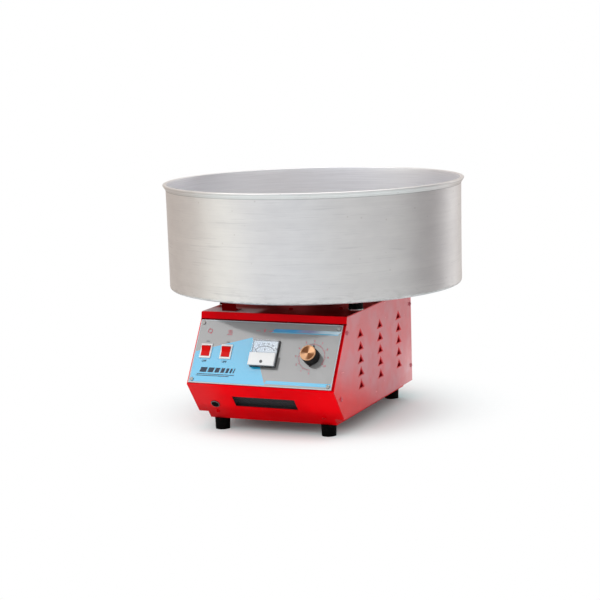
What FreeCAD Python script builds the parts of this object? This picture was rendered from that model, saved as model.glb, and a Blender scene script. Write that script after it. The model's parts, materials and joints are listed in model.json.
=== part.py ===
import FreeCAD, Part
import math
import os

# Tabletop candy floss machine: a folded steel cabinet with the motor, the controls and the
# slip rings, a heated spinner head on the motor shaft, and a spun aluminium bowl around it.
# Frame: origin on the table under the shaft, +Z up, -Y towards the user, +X to their right.

V = FreeCAD.Vector

# ---------------------------------------------------------------- driving dimensions, mm
# bowl
rim_r = 260.0            # outer radius of the flared rim
rim_flare = 5.0          # how far the rim flares out from the wall
rim_h = 9.8              # height of the flared rim
rim_bead_r = 1.6         # fold along the rim's outer edge
rim_edge_r = 1.0         # fold along its inner edge
bowl_taper = 1.0         # how much narrower the wall is at the bottom
bowl_h = 180.7           # from the bowl's underside to the top of its rim
bowl_t = 1.5             # thickness of the spun aluminium
bowl_corner_r = 5.0      # outer radius between wall and bottom
bowl_hole_gap = 9.5      # around the spinner head, which passes through the bowl's hole
bowl_collar_h = 14.0     # upturned collar around that hole
bowl_gap = 24.8          # from the deck to the underside of the bowl

# cabinet
case_w = 262.6           # over the side sheets
deck_front = -186.5      # front edge of the deck
deck_back = 121.0        # rear face of the cabinet
deck_z = 197.6           # top face of the deck
lip_h = 12.6             # folded front lip of the deck
lip_out = 2.1            # how far the lip leans forward at its bottom edge
nose_out = 62.8          # how far the control slope comes forward of the lip
nose_drop = 99.4         # how far it drops
chin_back = 42.6         # how far the chin goes back under the nose
chin_drop = 54.1         # how far it drops
sheet_t = 1.2            # steel sheet
bend_r = 2.5             # outer radius of the folds
panel_gap = 0.8          # gap between the lip and the control slope
fold_gap = 0.2           # between folded edges that meet without touching
side_flange = 14.0       # folded flanges that take the side screws
floor_flange = 28.0      # inward flange along the bottom of each side sheet
flange_end = 6.0         # folded flanges stop this far short of the sheet's ends
cutout_clear = 0.1       # around what is set into a sheet
side_screw_in = 2.2      # front upper side screw, behind the deck's front edge
side_screw_top_z = 171.2
side_screw_low_z = 60.0
nose_screw_in = 30.0     # front lower side screw, behind the nose
nose_screw_z = 68.0
deck_screw_x = 11.4      # two screws hold the cable clips under the deck
deck_screw_y = -138.0
deck_screw_side = 40.1   # the second one, in from the cabinet's right side
deck_screw_side_y = -112.7
louvre_rows = 6          # slots in the rear panel
louvre_x = (-62.0, -4.0)
louvre_w = 48.0
louvre_h = 3.2
louvre_pitch = 11.0
louvre_z = 104.0         # bottom of the lowest row

# base tray and feet
tray_inset = 16.9        # tray set in from the side sheets
tray_h = 12.1            # height of the tray below the side sheets
tray_flange = 12.0       # its inward flanges, screwed to those of the side sheets
tray_flange_end = 20.0   # they stop this far short of its front and back
tray_screw_y = (-120.0, 0.0, 90.0)
tray_tab_gap = 1.0       # between its front tab and the side sheets' flanges
foot_h = 19.4
foot_r = 12.9
foot_taper = 0.8
foot_in = 17.9           # foot centres, in from the tray's sides
foot_front_y = -192.0
foot_back_y = 106.5
foot_recess_r = 6.0      # pocket for the screw head under each foot
foot_recess_h = 6.0

# vents pressed into the side sheets
vent_w = 23.0
vent_h = 12.6
vent_depth = 4.0
vent_rows = 5
vent_pitch_z = 21.5
vent_pitch_y = 91.8
vent_first_y = -129.9    # front column
vent_top_z = 162.0       # centre of the top row
vent_columns = 3

# bowl supports
buffer_r = 12.0
buffer_plate_r = 12.6
buffer_plate_t = 1.6
buffer_in = 12.8         # buffer centres, in from the side sheets
buffer_front_y = -114.7
buffer_back_y = 104.0
buffer_edge = 1.5        # rounding of the rubber's top edge
stud_below = 6.0         # of each stud, under the deck
seat_gap = 0.3           # between a support and the bowl it carries
bracket_in = 49.8        # its middle, in from the left side sheet
bracket_w = 25.6
bracket_t = 1.6
bracket_foot = 24.0      # depth of its two flanges
bracket_screw_x = 7.0    # either side of its middle
bracket_screw_in = 14.4  # from the deck's front edge

# control overlay, placed by x and by s, the distance down the slope
overlay_left = 1.8       # its left edge, in from the cabinet's side
overlay_right = 5.5      # its right edge, likewise
overlay_s0 = 2.0
overlay_s1 = 114.5
overlay_t = 0.6
overlay_screw_in = 6.0   # corner screws, in from the overlay's edges

# rocker switches
switch_w = 20.5
switch_l = 25.4
switch_s = 57.9
switch_in = 20.9         # first switch, in from the overlay's left edge
switch_pitch = 36.8
bezel_h = 2.0
bezel_edge = 2.4
bezel_round = 0.9
switch_body_in = 0.9     # switch body inside the bezel's outline
switch_body_d = 20.0     # depth behind the slope
rocker_r = 9.3           # radius of the rocker's rounded ends about its pivot
rocker_tilt = 12.0       # degrees either side of level
rocker_end_h = 2.1       # height of a rocker's end over the bezel when level
rocker_mid_h = 0.3       # height of its middle
rocker_sink = 2.4        # its pivot lies this far under the bezel's face
rocker_under = 5.1       # flat underside of the rocker, below its pivot
rocker_play = 0.3        # gap around the rocker
rocker_pin_r = 1.4
rocker_pin_l = 1.4
pin_clear = 0.05         # radial clearance of a running pin
tab_w = 6.3              # spade terminals
tab_t = 0.8
tab_l = 8.0
tab_pitch = 7.0
root = 0.5               # how deep a joined detail reaches into its body

# panel meter
meter_x = -1.0
meter_s = 58.4
meter_w = 46.4
meter_l = 46.4
meter_base_h = 3.4       # black base plate in front of the overlay
meter_front_h = 6.0      # clear front above the base plate
meter_wall = 1.6
meter_cover_l = 22.0     # white lower cover
meter_cover_h = 1.8
meter_barrel_r = 19.0
meter_barrel_d = 26.0
meter_stud_r = 2.0       # terminal studs behind the barrel
meter_stud_l = 10.0
meter_stud_x = 9.0
meter_dial_t = 0.8
meter_dial_play = 0.4    # between the dial card and the window's walls
meter_pad = 0.6          # the card's spacer
magnet_w = 24.0
magnet_bore_r = 7.0
magnet_sink = 4.0        # below the face of the base plate
meter_pivot_s = 70.0     # pointer pivot, down the slope
needle_len = 25.0
needle_w = 1.0
needle_t = 0.5
needle_hub_r = 3.0
needle_hub_t = 1.6
needle_tail = 6.5
needle_above = 1.0       # the pointer's height over the dial
needle_swing = 90.0
staff_r = 0.8
coil_w = 10.0            # moving coil on the pointer's staff
coil_t = 3.0
coil_l = 12.0
zero_screw_s = 75.5
zero_screw_r = 2.6
zero_pin_r = 1.15
zero_slot_w = 0.8
zero_slot_d = 0.7

# regulator and its knob
knob_in = 44.0           # its axis, in from the overlay's right edge
knob_s = 59.5
knob_r = 13.6
knob_skirt_r = 14.2
knob_h = 16.5
knob_skirt_h = 3.0
knob_draft = 0.5         # wider at its foot
knob_flutes = 24
flute_depth = 0.3        # at the knob's top
knob_clear = 0.5         # under the knob
pointer_tip = 17.2
pointer_tail = 20.6
cap_r = 13.2
cap_h = 2.6
cap_rim = 1.0
cap_dish = 1.0
cap_bevel = 0.5
flute_r = 0.9
reg_shaft_r = 3.0
reg_bush_r = 4.7
reg_bush_above = 2.0     # of the bush, beyond its nut
reg_body_r = 20.0
reg_body_d = 24.0
reg_floor = 4.0          # behind the blind bore for the shaft
reg_nut_r = 7.0
reg_nut_h = 2.4
reg_lug_w = 5.0
reg_lug_l = 7.0
reg_lug_x = 9.0
shaft_short = 4.0        # the shaft ends this far below the knob's top

# chin: fuse holder and air slot, placed by x and by c, the distance down the chin
fuse_in = 37.5           # its axis, in from the cabinet's left side
fuse_c = 46.9
fuse_r = 6.4             # radius of the holder's barrel
fuse_ring_r = 7.8
fuse_ring_h = 2.0
fuse_d = 34.0
fuse_cap_r = 5.8
fuse_cap_out = 1.2
fuse_cap_in = 5.7        # of the cap, inside the holder
fuse_coin_w = 1.4
fuse_link_r = 2.6
fuse_link_l = 20.0
fuse_link_in = 6.3       # its front end, behind the chin's face
slot_x0 = -57.5
slot_x1 = 54.5
slot_c0 = 26.0
slot_c1 = 51.5
filter_margin = 6.0
filter_t = 12.0
filter_pocket = 7.0      # the pad's face is set back this far behind the slot
filter_wall = 2.4        # of the pocket's rim, outside the slot's edge
filter_margin_c = 3.6    # above and below the slot
filter_gap = 0.3
apron_screw_in = 18.5    # in from the tray's sides
apron_screw_c = 66.2

# spinner head
shaft_r = 5.0
head_r = 62.5
head_z = 262.0           # underside of the head
head_base_t = 3.0
head_rim_h = 8.0
head_rim_t = 3.0
hub_r = 13.0
hub_h = 12.0
band_h = 22.0
band_t = 0.8
band_slots = 48
band_slot_w = 1.4
band_slot_margin = 3.0
cover_t = 1.6
cover_flat = 10.0        # flat edge of the lid, which takes the screws
cover_rise = 10.0
inlet_r = 25.0
inlet_collar = 5.0
heater_in = 16.5         # middle of the heating tube, in from the head's edge
heater_tube_r = 3.6
heater_post_r = 4.0
heater_post_h = 7.0
head_screws_n = 4
pillar_r = 2.2
pillar_in = 6.0          # pillars, in from the head's edge
screw_neck = 0.45        # the neck of a pillar is this much thinner
pillar_hole = 0.05       # clearance around that neck
head_screw_h = 2.0
nut_across = 15.6
nut_h = 8.0
dome_r = 7.2

# slip rings and brushes
sleeve_r = 12.0
sleeve_z0 = 204.0
sleeve_z1 = 236.0
ring_r = 16.0
ring_h = 7.0
ring_low_z = 207.5
ring_high_z = 222.0
brush_gap = 0.3
brush_w = 6.0
brush_l = 16.0
holder_w = 18.0
holder_l = 26.0
holder_gap = 3.0         # from the rings to the holder's face
holder_wall = 3.0        # behind the springs and above the upper guide
holder_foot_h = 4.0
holder_foot_l = 12.0     # its foot reaches this far beyond the block
brush_play = 0.1         # around a brush in its guide
spring_r = 2.0
spring_wire_r = 0.5
spring_turns = 5
spring_spine_r = 0.35
lead_r = 1.5
lead_at = 8.6

# motor, hung under the deck on rubber bushes
shaft_hole_r = 24.0
bush_r = 9.0
bush_h = 15.0
motor_bolt_at = 62.0     # along X and along Y
motor_plate = 146.0
motor_plate_t = 3.0
motor_r = 52.0
motor_wall = 2.5
motor_h = 92.0
cap_plate_t = 5.0
boss_r = 17.0
boss_h = 8.0
bearing_r = 13.0
bearing_h = 8.0
stator_in = 30.0
stator_h = 48.0
stator_slots = 12
stator_slot_w = 4.4
stator_slot_d = 12.0
armature_slots = 16
armature_slot_w = 2.4
armature_slot_d = 7.0
air_gap = 0.5
vent_slots = 8           # openings in the motor's frame, per row
vent_slot_w = 12.0
vent_slot_h = 8.0
vent_slot_gap = 3.0      # from the stator's ends
coil_step = 2.0          # the coils begin this far outside the stator's bore
coil_wall = 4.0          # and end this far inside the frame
coil_h = 10.0
fan_r = 42.0
fan_h = 10.0
fan_hub_r = 12.0
fan_t = 1.5
fan_blades = 7
fan_below = 10.0         # between the motor and its fan
fan_twist = 18.0         # degrees
shaft_below_fan = 2.0
bearing_lip = 2.0        # of the boss, beyond its bearing
shaft_clear = 1.0        # around the shaft in the end caps
plate_corner = 8.0
bolt_r = 2.5
bolt_clear = 0.1
bolt_across = 8.0
bolt_head_h = 3.5
bolt_nut_h = 4.0
bolt_end = 3.0           # of the thread, beyond its nut

# small fasteners
screw_r = 1.9
screw_head_r = 3.6
screw_head_h = 2.2
screw_l = 7.0
screw_clear = 0.1
cross_w = 0.8
cross_l = 3.6
cross_d = 1.1

# inside and rear
block_l = 62.0
block_w = 20.0
block_h = 17.0
block_y = 60.0
block_poles = 5
block_edge = 5.0         # from its ends to the first pole
block_hole_r = 1.8
block_hole_y = 5.0       # wire screws, either side of its middle
block_hole_d = 6.0
gland_side = 53.3        # its axis, in from the cabinet's right side
gland_z = 62.0
gland_r = 8.0
gland_bore_r = 4.0
gland_flange_r = 12.0
gland_flange_t = 3.0
gland_nut_t = 5.0
gland_nut_in = 1.0       # the inner nut is this much smaller than the flange
gland_in = 6.0           # how far it reaches inside the panel
gland_nose_step = 1.5    # of its nose, over the body
gland_taper = 2.5
gland_l = 16.0

# ---------------------------------------------------------------- derived places
half_w = case_w / 2
inner_w = half_w - sheet_t
bowl_z = deck_z + bowl_gap
rim_z = bowl_z + bowl_h
wall_r = rim_r - rim_flare
lip_y = deck_front - lip_out
lip_z = deck_z - lip_h
nose_y = lip_y - nose_out
nose_z = lip_z - nose_drop
chin_y = nose_y + chin_back
chin_z = nose_z - chin_drop
tray_w = half_w - tray_inset
foot_x = tray_w - foot_in
apron_screw_x = tray_w - apron_screw_in
buffer_x = half_w - buffer_in
bracket_x = bracket_in - half_w
overlay_x0 = overlay_left - half_w
overlay_x1 = half_w - overlay_right
switch_motor_x = overlay_x0 + switch_in
switch_heat_x = switch_motor_x + switch_pitch
knob_x = overlay_x1 - knob_in
fuse_x = fuse_in - half_w
gland_x = half_w - gland_side
deck_screws = ((deck_screw_x, deck_screw_y), (half_w - deck_screw_side, deck_screw_side_y))
tray_z = chin_z - tray_h
chin_len = math.hypot(chin_back, chin_drop)
back_in = deck_back - sheet_t
deck_under = deck_z - sheet_t
motor_plate_z1 = deck_under - bush_h
motor_z1 = motor_plate_z1 - motor_plate_t
motor_z0 = motor_z1 - motor_h
stator_z0 = motor_z0 + (motor_h - stator_h) / 2
stator_z1 = stator_z0 + stator_h
bearing_levels = (motor_z1 + boss_h - bearing_lip - bearing_h, motor_z0 - boss_h + bearing_lip)
head_floor = head_z + head_base_t
bowl_hole_r = head_r + bowl_hole_gap
heater_ring_r = head_r - heater_in
pillar_at = head_r - pillar_in
band_z0 = head_z + head_rim_h
band_z1 = band_z0 + band_h
cover_z = band_z1
shaft_top = head_floor + 10.0


# ---------------------------------------------------------------- helpers
def box(x0, x1, y0, y1, z0, z1):
    return Part.makeBox(x1 - x0, y1 - y0, z1 - z0, V(x0, y0, z0))


def rod(r, start, axis, length):
    return Part.makeCylinder(r, length, V(*start), V(*axis))


def disc(r, z0, z1, x=0.0, y=0.0):
    return rod(r, (x, y, z0), (0, 0, 1), z1 - z0)


def tube(r_out, r_in, z0, z1, x=0.0, y=0.0):
    return disc(r_out, z0, z1, x, y).cut(disc(r_in, z0 - 1, z1 + 1, x, y))


def prism(points, x0, x1):
    """Closed (y, z) outline run along X."""
    pts = [V(x0, y, z) for y, z in points]
    face = Part.Face(Part.makePolygon(pts + pts[:1]))
    return face.extrude(V(x1 - x0, 0, 0))


def plate(points, z0, z1):
    """Closed (x, y) outline run up Z."""
    pts = [V(x, y, z0) for x, y in points]
    face = Part.Face(Part.makePolygon(pts + pts[:1]))
    return face.extrude(V(0, 0, z1 - z0))


def lathe(edges):
    """Closed (r, z) outline, as edges, turned about Z."""
    face = Part.Face(Part.Wire(edges))
    return face.revolve(V(0, 0, 0), V(0, 0, 1), 360)


def turned(points):
    """Closed (r, z) polygon turned about Z."""
    pts = [V(r, 0, z) for r, z in points]
    face = Part.Face(Part.makePolygon(pts + pts[:1]))
    return face.revolve(V(0, 0, 0), V(0, 0, 1), 360)


def around(shape, count, start=0.0):
    """Copies of a shape, evenly spaced about Z."""
    out = []
    for i in range(count):
        one = shape.copy()
        one.rotate(V(0, 0, 0), V(0, 0, 1), start + 360.0 * i / count)
        out.append(one)
    return out


def group(shapes):
    return Part.makeCompound(shapes)


def hexagon(across, z0, z1):
    r = across / math.sqrt(3)
    pts = [(r * math.cos(math.radians(60 * i)), r * math.sin(math.radians(60 * i)))
           for i in range(6)]
    return plate(pts, z0, z1)


class Slope:
    """A sloping face of the front: local X across, -Y down the slope, Z outwards."""

    def __init__(self, y0, z0, y1, z1):
        self.start = V(0, y0, z0)
        self.length = math.hypot(y1 - y0, z1 - z0)
        self.down = V(0, (y1 - y0) / self.length, (z1 - z0) / self.length)
        self.out = V(0, self.down.z, -self.down.y)
        self.tilt = math.degrees(math.atan2(-self.down.z, -self.down.y))

    def put(self, shape, x=0.0, s=0.0, w=0.0):
        """Place a shape built about local zero at (x, s), w above the face."""
        one = shape.copy()
        one.translate(V(x, -s, w))
        one.rotate(V(0, 0, 0), V(1, 0, 0), self.tilt)
        one.translate(self.start)
        return one

    def at(self, x, s, w=0.0):
        return V(x, 0, 0) + self.start + self.down * s + self.out * w


panel = Slope(lip_y, lip_z, nose_y, nose_z)
chin = Slope(nose_y, nose_z, chin_y, chin_z)


def inward(slope_a, slope_b, depth):
    """Point where two neighbouring slopes meet when both are moved inwards."""
    a0 = slope_a.start - slope_a.out * depth
    b0 = slope_b.start - slope_b.out * depth
    cross = slope_a.down.y * slope_b.down.z - slope_a.down.z * slope_b.down.y
    k = ((b0.y - a0.y) * slope_b.down.z - (b0.z - a0.z) * slope_b.down.y) / cross
    p = a0 + slope_a.down * k
    return (p.y, p.z)


def yz(point):
    return (point.y, point.z)


def chin_at(z, depth):
    """(y, z) on the chin's plane moved inwards by depth, at height z."""
    y = nose_y + (nose_z - z) * chin_back / chin_drop + depth * chin_len / chin_drop
    return (y, z)


# ---------------------------------------------------------------- fasteners
def pan_screw(length=screw_l, r=screw_r, head_r=screw_head_r):
    """Pan head screw: head above z = 0, shank below, cross recess."""
    head = disc(head_r, 0, screw_head_h)
    head = head.makeFillet(screw_head_h * 0.7, [head.Edges[0]])
    shape = head.fuse(disc(r, -length, 0))
    for turn in (0, 90):
        bar = box(-cross_l / 2, cross_l / 2, -cross_w / 2, cross_w / 2,
                  screw_head_h - cross_d, screw_head_h + 1)
        bar.rotate(V(0, 0, 0), V(0, 0, 1), turn)
        shape = shape.cut(bar)
    return shape


def facing(shape, point, axis):
    """Turn a shape built up +Z to face along axis, standing on point."""
    one = shape.copy()
    one.Placement = FreeCAD.Placement(V(*point), FreeCAD.Rotation(V(0, 0, 1), V(*axis)))
    return one


def screw_holes(points, axis, depth, r=screw_r + screw_clear):
    back = V(*axis) * -depth
    return [Part.makeCylinder(r, 2 * depth, V(*p) + back, V(*axis)) for p in points]


def side_screw_points(side):
    """Two screws into the front panel's flange, then two into the back panel's."""
    back_y = deck_back - side_flange / 2
    places = [(deck_front - side_screw_in, side_screw_top_z),
              (nose_y + nose_screw_in, nose_screw_z),
              (back_y, side_screw_top_z), (back_y, side_screw_low_z)]
    return [(side * half_w, y, z) for y, z in places]


def tray_screw_points():
    x = tray_w - tray_flange / 2
    return [(sx * x, y, chin_z - sheet_t) for sx in (-1, 1) for y in tray_screw_y]


def bracket_screw_points():
    y = deck_front + bracket_screw_in
    return [(bracket_x + dx, y, deck_z + bracket_t) for dx in (-bracket_screw_x, bracket_screw_x)]


def buffer_points():
    return [(sx * buffer_x, y) for sx in (-1, 1) for y in (buffer_front_y, buffer_back_y)]


def motor_bolt_points():
    a = motor_bolt_at
    return [(sx * a, sy * a) for sx in (-1, 1) for sy in (-1, 1)]


def overlay_screw_points():
    xs = (overlay_x0 + overlay_screw_in, overlay_x1 - overlay_screw_in)
    ss = (overlay_s0 + overlay_screw_in, overlay_s1 - overlay_screw_in)
    return [(x, s) for x in xs for s in ss]


def foot_points():
    return [(sx * foot_x, y) for sx in (-1, 1) for y in (foot_front_y, foot_back_y)]


# ---------------------------------------------------------------- cabinet
def tetra(a, b, c, d):
    faces = [Part.Face(Part.makePolygon([p, q, r, p]))
             for p, q, r in ((a, b, c), (a, c, d), (a, d, b), (b, d, c))]
    solid = Part.Solid(Part.Shell(faces))
    if solid.Volume < 0:
        solid.reverse()
    return solid


def vent_points():
    return [(vent_first_y + vent_pitch_y * i, vent_top_z - vent_pitch_z * k)
            for i in range(vent_columns) for k in range(vent_rows)]


def vent(side, y, z, grow):
    """Pressed-in vent, apex up and open below; grow adds the sheet's thickness."""
    out = 0.0 if grow else 1.0
    x0 = side * (half_w + out - (sheet_t / 2 if grow else 0.0))
    base = z - vent_h / 2
    slope = (vent_w / 2 + grow) / (vent_h + 2 * grow)
    apex = V(x0, y, base + vent_h + 2 * grow)
    left = V(x0, y - slope * (vent_h + 2 * grow), base)
    right = V(x0, y + slope * (vent_h + 2 * grow), base)
    deep = V(side * (half_w - vent_depth - grow), y, base)
    return tetra(apex, left, right, deep)


def cabinet_shell():
    outline = [(deck_front, deck_z), (lip_y, lip_z), (nose_y, nose_z), (chin_y, chin_z),
               (deck_back, chin_z), (deck_back, deck_z)]
    shell = prism(outline, -half_w, half_w)
    top_edges = [e for e in shell.Edges
                 if abs(e.BoundBox.ZMin - deck_z) < 0.01 and abs(e.BoundBox.ZMax - deck_z) < 0.01
                 and e.BoundBox.YMin < deck_back - 1]
    shell = shell.makeFillet(bend_r, top_edges)
    front = nose_y - 10
    hollow = [(deck_back + 1, chin_z - 1), (deck_back + 1, deck_under),
              (deck_front + sheet_t, deck_under), (lip_y + sheet_t, lip_z),
              (front, lip_z), (front, chin_z - 1)]
    shell = shell.cut(prism(hollow, -inner_w, inner_w))
    skins = []
    dents = []
    for side in (-1, 1):
        x0, x1 = sorted((side * (inner_w + sheet_t / 2), side * (inner_w - floor_flange)))
        front_y = chin_at(chin_z, sheet_t)[0] + fold_gap
        shell = shell.fuse(box(x0, x1, front_y, back_in, chin_z, chin_z + sheet_t))
        skins += [vent(side, y, z, sheet_t) for y, z in vent_points()]
        dents += [vent(side, y, z, 0.0) for y, z in vent_points()]
    shell = shell.fuse(skins).cut(group(dents))
    holes = [disc(shaft_hole_r, deck_under - 1, deck_z + 1)]
    holes += [disc(bolt_r + bolt_clear, deck_under - 1, deck_z + 1, x, y)
              for x, y in motor_bolt_points()]
    holes += [disc(screw_r + screw_clear, deck_under - 1, deck_z + 1, x, y)
              for x, y in buffer_points()]
    holes += screw_holes(bracket_screw_points(), (0, 0, 1), 6)
    holes += screw_holes([(x, y, deck_z) for x, y in deck_screws], (0, 0, 1), 4)
    for side in (-1, 1):
        holes += screw_holes(side_screw_points(side), (side, 0, 0), 4)
    holes += screw_holes(tray_screw_points(), (0, 0, 1), 4)
    return shell.cut(group(holes)).removeSplitter()


def control_cutouts():
    """What the control slope and its overlay are cut out for, in the slope's own frame."""
    w = switch_w / 2 - switch_body_in + cutout_clear
    h = switch_l / 2 - switch_body_in + cutout_clear
    cuts = [box(x - w, x + w, -switch_s - h, -switch_s + h, -5, 5)
            for x in (switch_motor_x, switch_heat_x)]
    cuts.append(disc(meter_barrel_r + 4 * cutout_clear, -5, 5, meter_x, -meter_s))
    cuts.append(disc(reg_bush_r + cutout_clear, -5, 5, knob_x, -knob_s))
    cuts += [disc(screw_r + screw_clear, -5, 5, x, -s) for x, s in overlay_screw_points()]
    return cuts


def front_panel():
    """Control slope and chin in one folded sheet, with side flanges and a narrower apron."""
    top = panel_gap
    t = sheet_t
    corner_in = inward(panel, chin, t)
    outer = [yz(panel.at(0, top)), (nose_y, nose_z), (chin_y, chin_z)]
    inner = [chin_at(chin_z, t), corner_in, yz(panel.at(0, top, -t))]
    sheet = prism(outer + inner, -inner_w, inner_w)
    apron = [chin_at(chin_z + t, 0), chin_at(tray_z, 0), chin_at(tray_z, t),
             chin_at(chin_z + t, t)]
    sheet = sheet.fuse(prism(apron, -tray_w, tray_w))
    nose = [e for e in sheet.Edges if abs(e.BoundBox.YMax - nose_y) < 0.01
            and abs(e.BoundBox.ZMax - nose_z) < 0.01 and e.Length > case_w / 2]
    sheet = sheet.makeFillet(bend_r * 0.6, nose)
    depth = side_flange
    start = top + flange_end
    end = chin_len - flange_end
    flange = [yz(panel.at(0, start, -t / 2)), inward(panel, chin, t / 2),
              yz(chin.at(0, end, -t / 2)), yz(chin.at(0, end - depth, -depth)),
              inward(panel, chin, depth), yz(panel.at(0, start + depth, -depth))]
    sheet = sheet.fuse([prism(flange, -inner_w, -inner_w + t), prism(flange, inner_w - t, inner_w)])
    cuts = [panel.put(cut) for cut in control_cutouts()]
    cuts.append(chin.put(disc(fuse_r + cutout_clear, -5, 5), fuse_x, fuse_c))
    cuts.append(chin.put(box(slot_x0, slot_x1, -slot_c1, -slot_c0, -5, 5)))
    for side in (-1, 1):
        cuts.append(chin.put(disc(screw_r + screw_clear, -5, 5), side * apron_screw_x,
                             apron_screw_c))
        cuts += screw_holes(side_screw_points(side)[:2], (side, 0, 0), 4)
    return sheet.cut(group(cuts)).removeSplitter()


def panel_overlay():
    """Printed sheet stuck and screwed onto the control slope."""
    sheet = box(overlay_x0, overlay_x1, -overlay_s1, -overlay_s0, 0, overlay_t)
    return panel.put(sheet.cut(group(control_cutouts())))


def base_tray():
    """Shallow tray under the cabinet, with flanges screwed to the side sheets and the chin."""
    t = sheet_t
    floor = prism([chin_at(tray_z, t), chin_at(tray_z + t, t), (back_in, tray_z + t),
                   (back_in, tray_z)], -tray_w, tray_w)
    parts = []
    wall = [chin_at(tray_z, t), chin_at(chin_z, t), (back_in, chin_z), (back_in, tray_z)]
    for side in (-1, 1):
        a, b = sorted((side * tray_w, side * (tray_w - t)))
        parts.append(prism(wall, a, b))
        a, b = sorted((side * (tray_w - t / 2), side * (tray_w - tray_flange)))
        parts.append(box(a, b, chin_y + tray_flange_end, back_in - tray_flange_end,
                         chin_z - t, chin_z))
    parts.append(box(-tray_w, tray_w, back_in - t, back_in, tray_z, chin_z))
    lip = [chin_at(tray_z, t), chin_at(chin_z, t), chin_at(chin_z, 2 * t), chin_at(tray_z, 2 * t)]
    parts.append(prism(lip, -tray_w, tray_w))
    tab_top = chin.at(0, apron_screw_c - 6).z
    tab_half = inner_w - floor_flange - tray_tab_gap
    tab = [chin_at(chin_z - t, t), chin_at(tab_top, t), chin_at(tab_top, 2 * t),
           chin_at(chin_z - t, 2 * t)]
    parts.append(prism(tab, -tab_half, tab_half))
    tray = floor.fuse(parts)
    holes = screw_holes(tray_screw_points(), (0, 0, 1), 4)
    holes += [disc(screw_r + screw_clear, tray_z - 1, tray_z + t + 1, x, y)
              for x, y in foot_points()]
    for side in (-1, 1):
        holes.append(chin.put(disc(screw_r + screw_clear, -6, 5), side * apron_screw_x,
                              apron_screw_c))
    return tray.cut(group(holes)).removeSplitter()


def back_panel():
    t = sheet_t
    sheet = box(-inner_w, inner_w, back_in, deck_back, chin_z, deck_under)
    parts = []
    for side in (-1, 1):
        a, b = sorted((side * inner_w, side * (inner_w - t)))
        parts.append(box(a, b, deck_back - side_flange, back_in + t / 2,
                         chin_z + flange_end, deck_under - flange_end))
    sheet = sheet.fuse(parts)
    holes = [rod(gland_r + cutout_clear, (gland_x, back_in - 5, gland_z), (0, 1, 0), 12)]
    for side in (-1, 1):
        holes += screw_holes(side_screw_points(side)[2:], (side, 0, 0), 4)
    for i in range(louvre_rows):
        z = louvre_z + louvre_pitch * i
        for x in louvre_x:
            holes.append(box(x - louvre_w / 2, x + louvre_w / 2, back_in - 2, deck_back + 2,
                             z, z + louvre_h))
    return sheet.cut(group(holes)).removeSplitter()


def rubber_feet():
    feet = []
    for x, y in foot_points():
        foot = Part.makeCone(foot_r - foot_taper, foot_r, foot_h, V(x, y, 0))
        foot = foot.cut(disc(foot_recess_r, -1, foot_recess_h, x, y))
        foot = foot.cut(disc(screw_r + screw_clear, 0, foot_h + 1, x, y))
        feet.append(foot)
    return group(feet)


def foot_screws():
    length = foot_h - foot_recess_h + 4.0
    screw = pan_screw(length, head_r=foot_recess_r - 1.0)
    return group([facing(screw, (x, y, foot_recess_h), (0, 0, -1)) for x, y in foot_points()])


def case_screws():
    """Screws of the side sheets, the tray, the apron and the deck, all alike."""
    screw = pan_screw()
    out = []
    for side in (-1, 1):
        out += [facing(screw, p, (side, 0, 0)) for p in side_screw_points(side)]
        out.append(chin.put(screw, side * apron_screw_x, apron_screw_c))
    out += [facing(screw, p, (0, 0, -1)) for p in tray_screw_points()]
    out += [facing(screw, p, (0, 0, 1)) for p in bracket_screw_points()]
    out += [facing(screw, (x, y, deck_z), (0, 0, 1)) for x, y in deck_screws]
    return group(out)


def panel_screws():
    screw = pan_screw(head_r=screw_head_r - 0.4)
    return group([panel.put(screw, x, s, overlay_t) for x, s in overlay_screw_points()])


# ---------------------------------------------------------------- bowl and its supports
def bowl():
    """Spun bowl: flat bottom with a collared hole, rounded corner, straight wall, and a solid rim
    that is flush inside and leans out from a crease to its folded edge outside."""
    z0 = bowl_z
    t = bowl_t
    rb = wall_r - bowl_taper
    zc = z0 + bowl_corner_r
    zw = rim_z - rim_h
    co = (rb - bowl_corner_r, zc)
    outer = (rim_r - rim_bead_r, rim_z - rim_bead_r)
    inner = (wall_r - t + rim_edge_r, rim_z - rim_edge_r)
    # the outer fold is tangent to the straight flap that leans out from the crease
    reach = (outer[0] - wall_r, outer[1] - zw)
    lean = math.atan2(*reach) + math.asin(rim_bead_r / math.hypot(*reach))

    def p(r, z):
        return V(r, 0, z)

    def seg(start, end):
        return Part.LineSegment(p(*start), p(*end)).toShape()

    def arc(centre, radius, *bearings):
        """Through three bearings, from straight outward towards straight up."""
        pts = [p(centre[0] + radius * math.cos(b), centre[1] + radius * math.sin(b))
               for b in bearings]
        return Part.Arc(*pts).toShape()

    def on(centre, radius, bearing):
        return centre[0] + radius * math.cos(bearing), centre[1] + radius * math.sin(bearing)

    right, up, left = 0.0, math.pi / 2, math.pi
    wide = (up - lean) / 2
    edges = [
        seg((bowl_hole_r, z0), (co[0], z0)),
        arc(co, bowl_corner_r, -up, -up / 2, right),
        seg((rb, zc), (wall_r, zw)),
        seg((wall_r, zw), on(outer, rim_bead_r, -lean)),
        arc(outer, rim_bead_r, -lean, wide, up),
        seg((outer[0], rim_z), (inner[0], rim_z)),
        arc(inner, rim_edge_r, up, up * 1.5, left),
        seg((wall_r - t, inner[1]), (rb - t, zc)),
        arc(co, bowl_corner_r - t, right, -up / 2, -up),
        seg((co[0], z0 + t), (bowl_hole_r + t, z0 + t)),
        seg((bowl_hole_r + t, z0 + t), (bowl_hole_r + t, z0 + bowl_collar_h)),
        seg((bowl_hole_r + t, z0 + bowl_collar_h), (bowl_hole_r, z0 + bowl_collar_h)),
        seg((bowl_hole_r, z0 + bowl_collar_h), (bowl_hole_r, z0)),
    ]
    return lathe(edges)


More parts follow.
